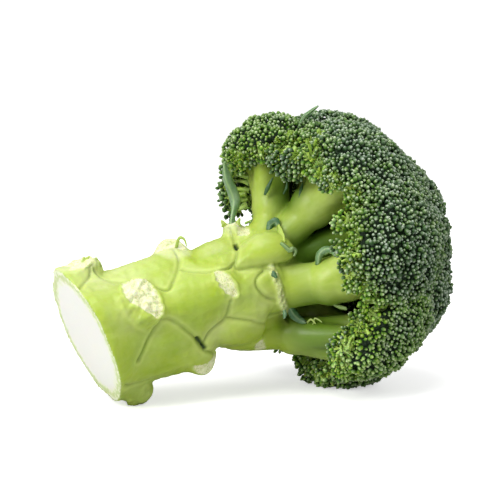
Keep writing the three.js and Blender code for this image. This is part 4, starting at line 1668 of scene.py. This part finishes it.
chance = np.random.default_rng(layout["seed"] + 100)
points, faces, masks = mergeParts([buildTwigs(chance)] + stemParts)
points[:, 2] = np.maximum(points[:, 2], 0)
makePiece("twigs", points, faces, masks, twigSkin)
print("twigs:", sum(len(group) for group in faces), "faces")


# Leaves

# Each sheet: rib in the head's own millimetres, widths along it, cup, the way its face looks,
# and how yellow (above 0) or dark green (below 0) it is
leaves = {
    "leaf_long": [
        (
            [
                (63, 3.7, 70),
                (63.7, 4.3, 74.7),
                (65.1, 5.8, 78.4),
                (65.8, 6.8, 81.7),
                (64.4, 6.3, 85.3),
                (62.0, 5.3, 89.5),
                (60.5, 4.3, 93.7),
                (60, 3.5, 98),
            ],
            (3.4, 2.4, 3.4, 5.2, 5.4, 4.4, 3.0, 1.6),
            1.9,
            (-0.8, -0.8, 0.2),
            0.1,
        ),
    ],
    "leaf_clasping": [
        (
            [(75.5, -7.6, 69.6), (76.4, -7.9, 71.9), (77.9, -9.0, 72.8), (78.8, -9.9, 71.2)],
            (2.4, 3.6, 3.8, 2.4),
            1.0,
            (-0.5, -0.8, -0.4),
            -0.3,
        ),
        (
            [(78.8, -9.8, 71.8), (78.6, -12.2, 69.5), (77.7, -16.3, 67.3), (77.4, -19.3, 65.5)],
            (1.2, 2.2, 2.4, 1.4),
            -0.8,
            (-0.5, -0.8, 0.3),
            1.0,
        ),
        (
            [
                (75.3, -19.5, 65.4),
                (76.7, -20.3, 64.4),
                (78.6, -21.1, 62.7),
                (80.2, -21.1, 63.0),
                (81.5, -20.7, 62.0),
                (80.9, -20.7, 59.7),
            ],
            (1.4, 2.2, 2.4, 2.0, 1.6),
            0.9,
            (-0.4, -0.9, 0.5),
            0.25,
        ),
    ],
    "leaf_tip": [
        (
            [(90.2, -6.2, 112), (91.9, -8.2, 117), (96.2, -12.0, 121.3)],
            (1.4, 1.9, 1.1),
            0.5,
            (0, -1, 0.4),
            0.1,
        ),
    ],
    "leaf_stub": [
        (
            [(75.5, -3.4, 84.0), (76.6, -4.6, 87.5), (78.8, -4.9, 91.6)],
            (0.9, 1.9, 1.6, 0.6),
            0.4,
            (-0.6, -0.8, -0.3),
            -0.9,
        ),
    ],
}

# Small leaves and torn scraps that sit on the stalk and its branches
scraps = [
    (
        [
            (88.4, -26.6, 57.0),
            (89.3, -27.2, 60.6),
            (90.8, -28.2, 62.6),
            (92.2, -29.9, 63.3),
            (93.8, -31.3, 62.5),
            (94.8, -32.5, 59.8),
        ],
        (2.4, 3.8, 3.4, 2.2),
        1.3,
        (-0.3, -0.9, 0.6),
        0.1,
    ),
    (
        [
            (95.2, -34.6, 60.0),
            (94.4, -33.7, 62.4),
            (94.1, -32.9, 64.3),
            (95.0, -32.5, 66.1),
            (96.7, -32.7, 66.5),
            (96.9, -32.9, 65.3),
        ],
        (1.1, 0.8, 0.7),
        0.2,
        (-0.4, -0.9, 0),
        0.9,
    ),
    (
        [(84.7, -4.1, 84.5), (85.3, -4.2, 86.9), (85.5, -4.4, 89.5)],
        (0.6, 1.3, 0.5),
        0.3,
        (-0.4, -0.9, 0),
        -0.6,
    ),
    (
        [(86.7, -13.4, 83.2), (88.0, -12.6, 86.3), (89.4, -11.6, 89.6)],
        (0.7, 1.6, 0.6),
        0.3,
        (-0.4, -0.9, 0),
        -0.8,
    ),
    (
        [(80.4, -18.6, 37.8), (82.9, -17.2, 34.7), (85.6, -17.0, 32.6), (87.6, -18.6, 31.3)],
        (3.2, 4.4, 3.4, 1.4),
        0.9,
        (-0.5, -0.8, 0.3),
        -0.35,
    ),
    (
        [(95.3, -27.8, 40.2), (97.7, -29.5, 38.6), (100.1, -31.1, 37.9)],
        (1.0, 2.0, 1.6),
        0.5,
        (-0.3, -0.9, -0.3),
        0.4,
    ),
    (
        [(87.6, -18.5, 32.1), (89.1, -20.2, 32.9), (90.5, -22.1, 31.2)],
        (0.8, 0.8, 0.5),
        0.1,
        (-0.3, -0.9, 0.3),
        0.8,
    ),
    (
        [(89.4, -20.5, 31.6), (90.6, -21.2, 33.4), (92.6, -23.6, 32.0)],
        (0.8, 0.7, 0.5),
        0.1,
        (-0.3, -0.9, 0.3),
        0.7,
    ),
    (
        [(70.1, -20.2, 54.9), (71.1, -21.4, 52.9), (72.1, -22.5, 51.2)],
        (1.0, 2.6, 1.2),
        0.4,
        (-0.5, -0.9, 0),
        -0.7,
    ),
    (
        [(76.4, -21.2, 37.6), (76.5, -21.4, 35.9), (76.5, -20.5, 34.0)],
        (1.4, 1.9, 1.2),
        0.4,
        (-0.4, -0.9, -0.2),
        -0.1,
    ),
    (
        [(37.2, 1.4, 65.4), (38.6, 0.9, 66.7), (39.8, 0.4, 67.1), (40.9, -0.1, 66.0), (41.5, -0.7, 63.4)],
        (1.4, 1.3, 0.6),
        0.3,
        (-0.5, -0.8, 0.3),
        0.9,
    ),
    (
        [(61.5, 6.3, 70.0), (60.7, 5.3, 71.5), (59.6, 5.8, 73.4)],
        (2.4, 2.6, 0.8),
        0.3,
        (-0.5, -0.9, 0.1),
        1.0,
    ),
    (
        [(65.5, 2.6, 70.5), (66.0, 2.4, 72.4), (66.9, 2.5, 74.4)],
        (2.6, 2.2, 0.8),
        0.3,
        (-0.3, -0.9, 0.1),
        0.9,
    ),
    (
        [(-0.4, 4.2, 56.5), (-0.9, 4.4, 58.5), (-0.6, 4.4, 60.6)],
        (1.8, 1.3, 0.6),
        0.2,
        (-0.5, -0.8, 0.2),
        0.9,
    ),
    (
        [(0.8, 3.8, 56.2), (0.7, 3.8, 58.6), (1.6, 3.4, 60.8)],
        (1.6, 1.4, 0.6),
        0.2,
        (-0.3, -0.9, 0.2),
        1.0,
    ),
    (
        [(2.2, 3.0, 55.8), (2.8, 2.8, 57.8), (4.2, 2.4, 59.6)],
        (2.2, 1.5, 0.6),
        0.2,
        (-0.4, -0.9, 0.1),
        0.8,
    ),
]


def leafSheet(rib, widths, cup, face, fresh, rows=40, columns=17, thick=0.35):
    # A thin closed blade along its rib, cupped, waved at its edges and veined
    waves, veins = 2.5, 5
    widest = max(widths)
    line = smoothThrough(rib, rows)
    tangent = unit(np.gradient(line, axis=0))
    across = unit(np.cross(np.asarray(face, float), tangent))
    normal = np.cross(tangent, across)[:, None]
    travel = np.linspace(0, 1, rows)[:, None]
    side = np.linspace(-1, 1, columns)[None]
    outer = np.abs(side)
    half = np.interp(travel, np.linspace(0, 1, len(widths)), widths) / 2
    notches = 1 - 0.1 * np.abs(np.sin(travel * 31)) * (outer > 0.9)
    half = half * np.sqrt(np.clip((1.04 - travel) / 0.16, 0.03, 1)) * notches
    wave = 0.09 * widest * np.sin(2 * math.pi * waves * travel + side) * outer**3
    veinLine = np.abs(((travel * veins - outer * 0.9) + 0.5) % 1 - 0.5) / veins * 30
    midVein = np.exp(-((side * half / (0.07 * widest)) ** 2))
    vein = np.maximum(midVein, 0.55 * np.exp(-(veinLine**2) / 0.08) * (1 - outer))
    lift = wave - cup * side**2 - vein * 0.12
    points = line[:, None] + across[:, None] * (side * half)[..., None] + normal * lift[..., None]
    front = points + normal * thick / 2
    back = points - normal * thick / 2
    both = np.concatenate([front.reshape(-1, 3), back.reshape(-1, 3)])
    corner = np.arange(rows - 1)[:, None] * columns + np.arange(columns - 1)[None]
    sheet = np.stack([corner, corner + 1, corner + columns + 1, corner + columns], -1).reshape(-1, 4)
    shift = rows * columns
    edge = np.concatenate(
        [
            np.arange(columns),
            np.arange(1, rows) * columns + columns - 1,
            (rows - 1) * columns + np.arange(columns - 2, -1, -1),
            np.arange(rows - 2, 0, -1) * columns,
        ]
    )
    following = np.roll(edge, -1)
    rimFaces = np.stack([edge, edge + shift, following + shift, following], -1)
    margin = ramp(outer, 0.86, 0.12) + np.zeros_like(half)
    masks = {
        "vein": np.tile(vein.ravel(), 2),
        "margin": np.tile(margin.ravel(), 2) * 0.7,
        "fresh": np.full(2 * shift, max(fresh, 0)),
        "deepGreen": np.full(2 * shift, max(-fresh, 0)),
    }
    return both, [sheet, (sheet + shift)[:, ::-1], rimFaces], masks


def restOnStalk(rib, sunk=0.2, clear=0.35):
    # Moves a scrap's foot into the surface that carries it, and the rest out of that surface
    rib = np.array(rib, float)
    moved = rib.copy()
    for index, point in enumerate(rib):
        nearest = np.linalg.norm(stalkPoints - point, axis=1).argmin()
        height = (point - stalkPoints[nearest]) @ stalkNormals[nearest]
        wanted = -sunk if index == 0 else max(height, clear)
        moved[index] = point + stalkNormals[nearest] * (wanted - height)
        if index == 0:
            moved[0] = stalkPoints[nearest] - stalkNormals[nearest] * sunk
    return moved


stalkNormals = pointNormals(stalkPoints, stalkQuads)
for name, sheets in leaves.items():
    parts = [leafSheet(*sheet) for sheet in sheets]
    points, faces, masks = mergeParts(parts)
    makePiece(name + "_blade", points, faces, masks, leafSkin, [name])
parts = [leafSheet(restOnStalk(sheet[0]), *sheet[1:], 24, 9, 0.3) for sheet in scraps]
points, faces, masks = mergeParts(parts)
makePiece("leaf_scraps", points, faces, masks, leafSkin)
print("leaves made")


# Floor, light, camera

studio = {
    "azimuth": -24.0,
    "elevation": 5.5,
    "viewAngle": 24.0,
    "distance": 494.0,
    "distanceTo": 60.0,  # the place along the stalk that the distance is measured to
    "crownAt": (319.0, 253.0),  # where the crown's middle falls in the 500 pixel frame
    "pictureSide": 500.0,
    "skyLight": 0.46,
    "skyShown": 1.1,  # what the camera sees of the sky
    "floorSize": 6.0,
    "floorShown": 0.9,
    "floorBounce": 0.66,  # how bright the floor is to everything but the camera
    "floorGlow": (0.5, 0.85),  # near the head, and far from it
    "glowGrowth": (3.6, -0.5),  # how the glow grows with the distance in metres: slope, start
}

# name: place, aim, size, power
lamps = {
    "overhead": ((-0.3, -0.15, 1.2), (0, 0, 0.05), (0.9, 0.9), 11.5),
    "left": ((-1.2, -0.45, 0.75), (0, 0, 0.05), (0.6, 0.6), 14),
    "right": ((1.0, -0.9, 0.8), (0.03, 0, 0.06), (0.8, 0.8), 7),
}


def makeFloor():
    far = studio["floorSize"] / 2
    mesh = bpy.data.meshes.new("floor")
    corners = [(-far, -far, 0), (far, -far, 0), (far, far, 0), (-far, far, 0)]
    mesh.from_pydata(corners, [], [(0, 1, 2, 3)])
    floor = bpy.data.objects.new("floor", mesh)
    bpy.context.scene.collection.objects.link(floor)
    shine = {"Emission Color": (1, 1, 1, 1), "Roughness": 0.35, "Specular IOR Level": 0.35}
    material, add, shader = newMaterial("floorWhite", shine)
    seen = add("ShaderNodeLightPath").outputs["Is Camera Ray"]
    bounce, shown = (studio["floorBounce"],) * 3, (studio["floorShown"],) * 3
    connect(shader, "Base Color", mixColour(add, seen, bounce, shown))
    # The glow grows with the distance from the head, so that the floor melts into the white around it
    where = add("ShaderNodeTexCoord").outputs["Object"]
    away = add("ShaderNodeVectorMath", {0: where}, operation="LENGTH").outputs["Value"]
    share = mathNode(add, "MULTIPLY_ADD", away, *studio["glowGrowth"], clamp=True)
    near, beyond = studio["floorGlow"]
    glow = mathNode(add, "MULTIPLY_ADD", share, beyond - near, near)
    connect(shader, "Emission Strength", mathNode(add, "MULTIPLY", seen, glow))
    mesh.materials.append(material)


def areaLight(name, location, target, size, power):
    lamp = bpy.data.lights.new(name, "AREA")
    lamp.shape = "RECTANGLE"
    lamp.size, lamp.size_y = size
    lamp.energy = power
    holder = bpy.data.objects.new(name, lamp)
    bpy.context.scene.collection.objects.link(holder)
    holder.location = location
    holder.rotation_mode = "QUATERNION"
    holder.rotation_quaternion = (Vector(target) - Vector(location)).to_track_quat("-Z", "Y")


def makeLight():
    world = bpy.data.worlds.new("studio")
    bpy.context.scene.world = world
    world.use_nodes = True
    # The camera sees plain white; the light that falls on the head is a little dimmer
    add = nodeMaker(world.node_tree)
    sky = world.node_tree.nodes["Background"]
    sky.inputs["Color"].default_value = (1, 1, 1, 1)
    seen = add("ShaderNodeLightPath").outputs["Is Camera Ray"]
    light, shown = studio["skyLight"], studio["skyShown"]
    connect(sky, "Strength", mathNode(add, "MULTIPLY_ADD", seen, shown - light, light))
    for name, settings in lamps.items():
        areaLight(name, *settings)
    bpy.context.scene.view_settings.view_transform = "Standard"


def makeCamera():
    azimuth, elevation = math.radians(studio["azimuth"]), math.radians(studio["elevation"])
    back = np.array(
        [
            math.sin(azimuth) * math.cos(elevation),
            -math.cos(azimuth) * math.cos(elevation),
            math.sin(elevation),
        ]
    )
    right = np.array([math.cos(azimuth), math.sin(azimuth), 0.0])
    up = np.cross(back, right)
    half = studio["pictureSide"] / 2
    focal = half / math.tan(math.radians(studio["viewAngle"]) / 2)
    middle = cutMiddle + studio["distanceTo"] * along
    depth = (crownMiddle - middle) @ back
    away = studio["distance"] - depth
    offX, offY = studio["crownAt"][0] - half, studio["crownAt"][1] - half
    target = crownMiddle - right * (offX / focal * away) + up * (offY / focal * away) - back * depth
    eye = (target + back * studio["distance"] + np.array(layout["shift"])) * 0.001
    data = bpy.data.cameras.new("camera")
    camera = bpy.data.objects.new("camera", data)
    bpy.context.scene.collection.objects.link(camera)
    data.sensor_width = 36
    data.angle = math.radians(studio["viewAngle"])
    data.clip_start, data.clip_end = 0.02, 20
    camera.location = eye
    camera.rotation_mode = "QUATERNION"
    camera.rotation_quaternion = (-Vector(back)).to_track_quat("-Z", "Y")
    bpy.context.scene.camera = camera


makeFloor()
makeLight()
makeCamera()
print("floor, lamps and camera made")
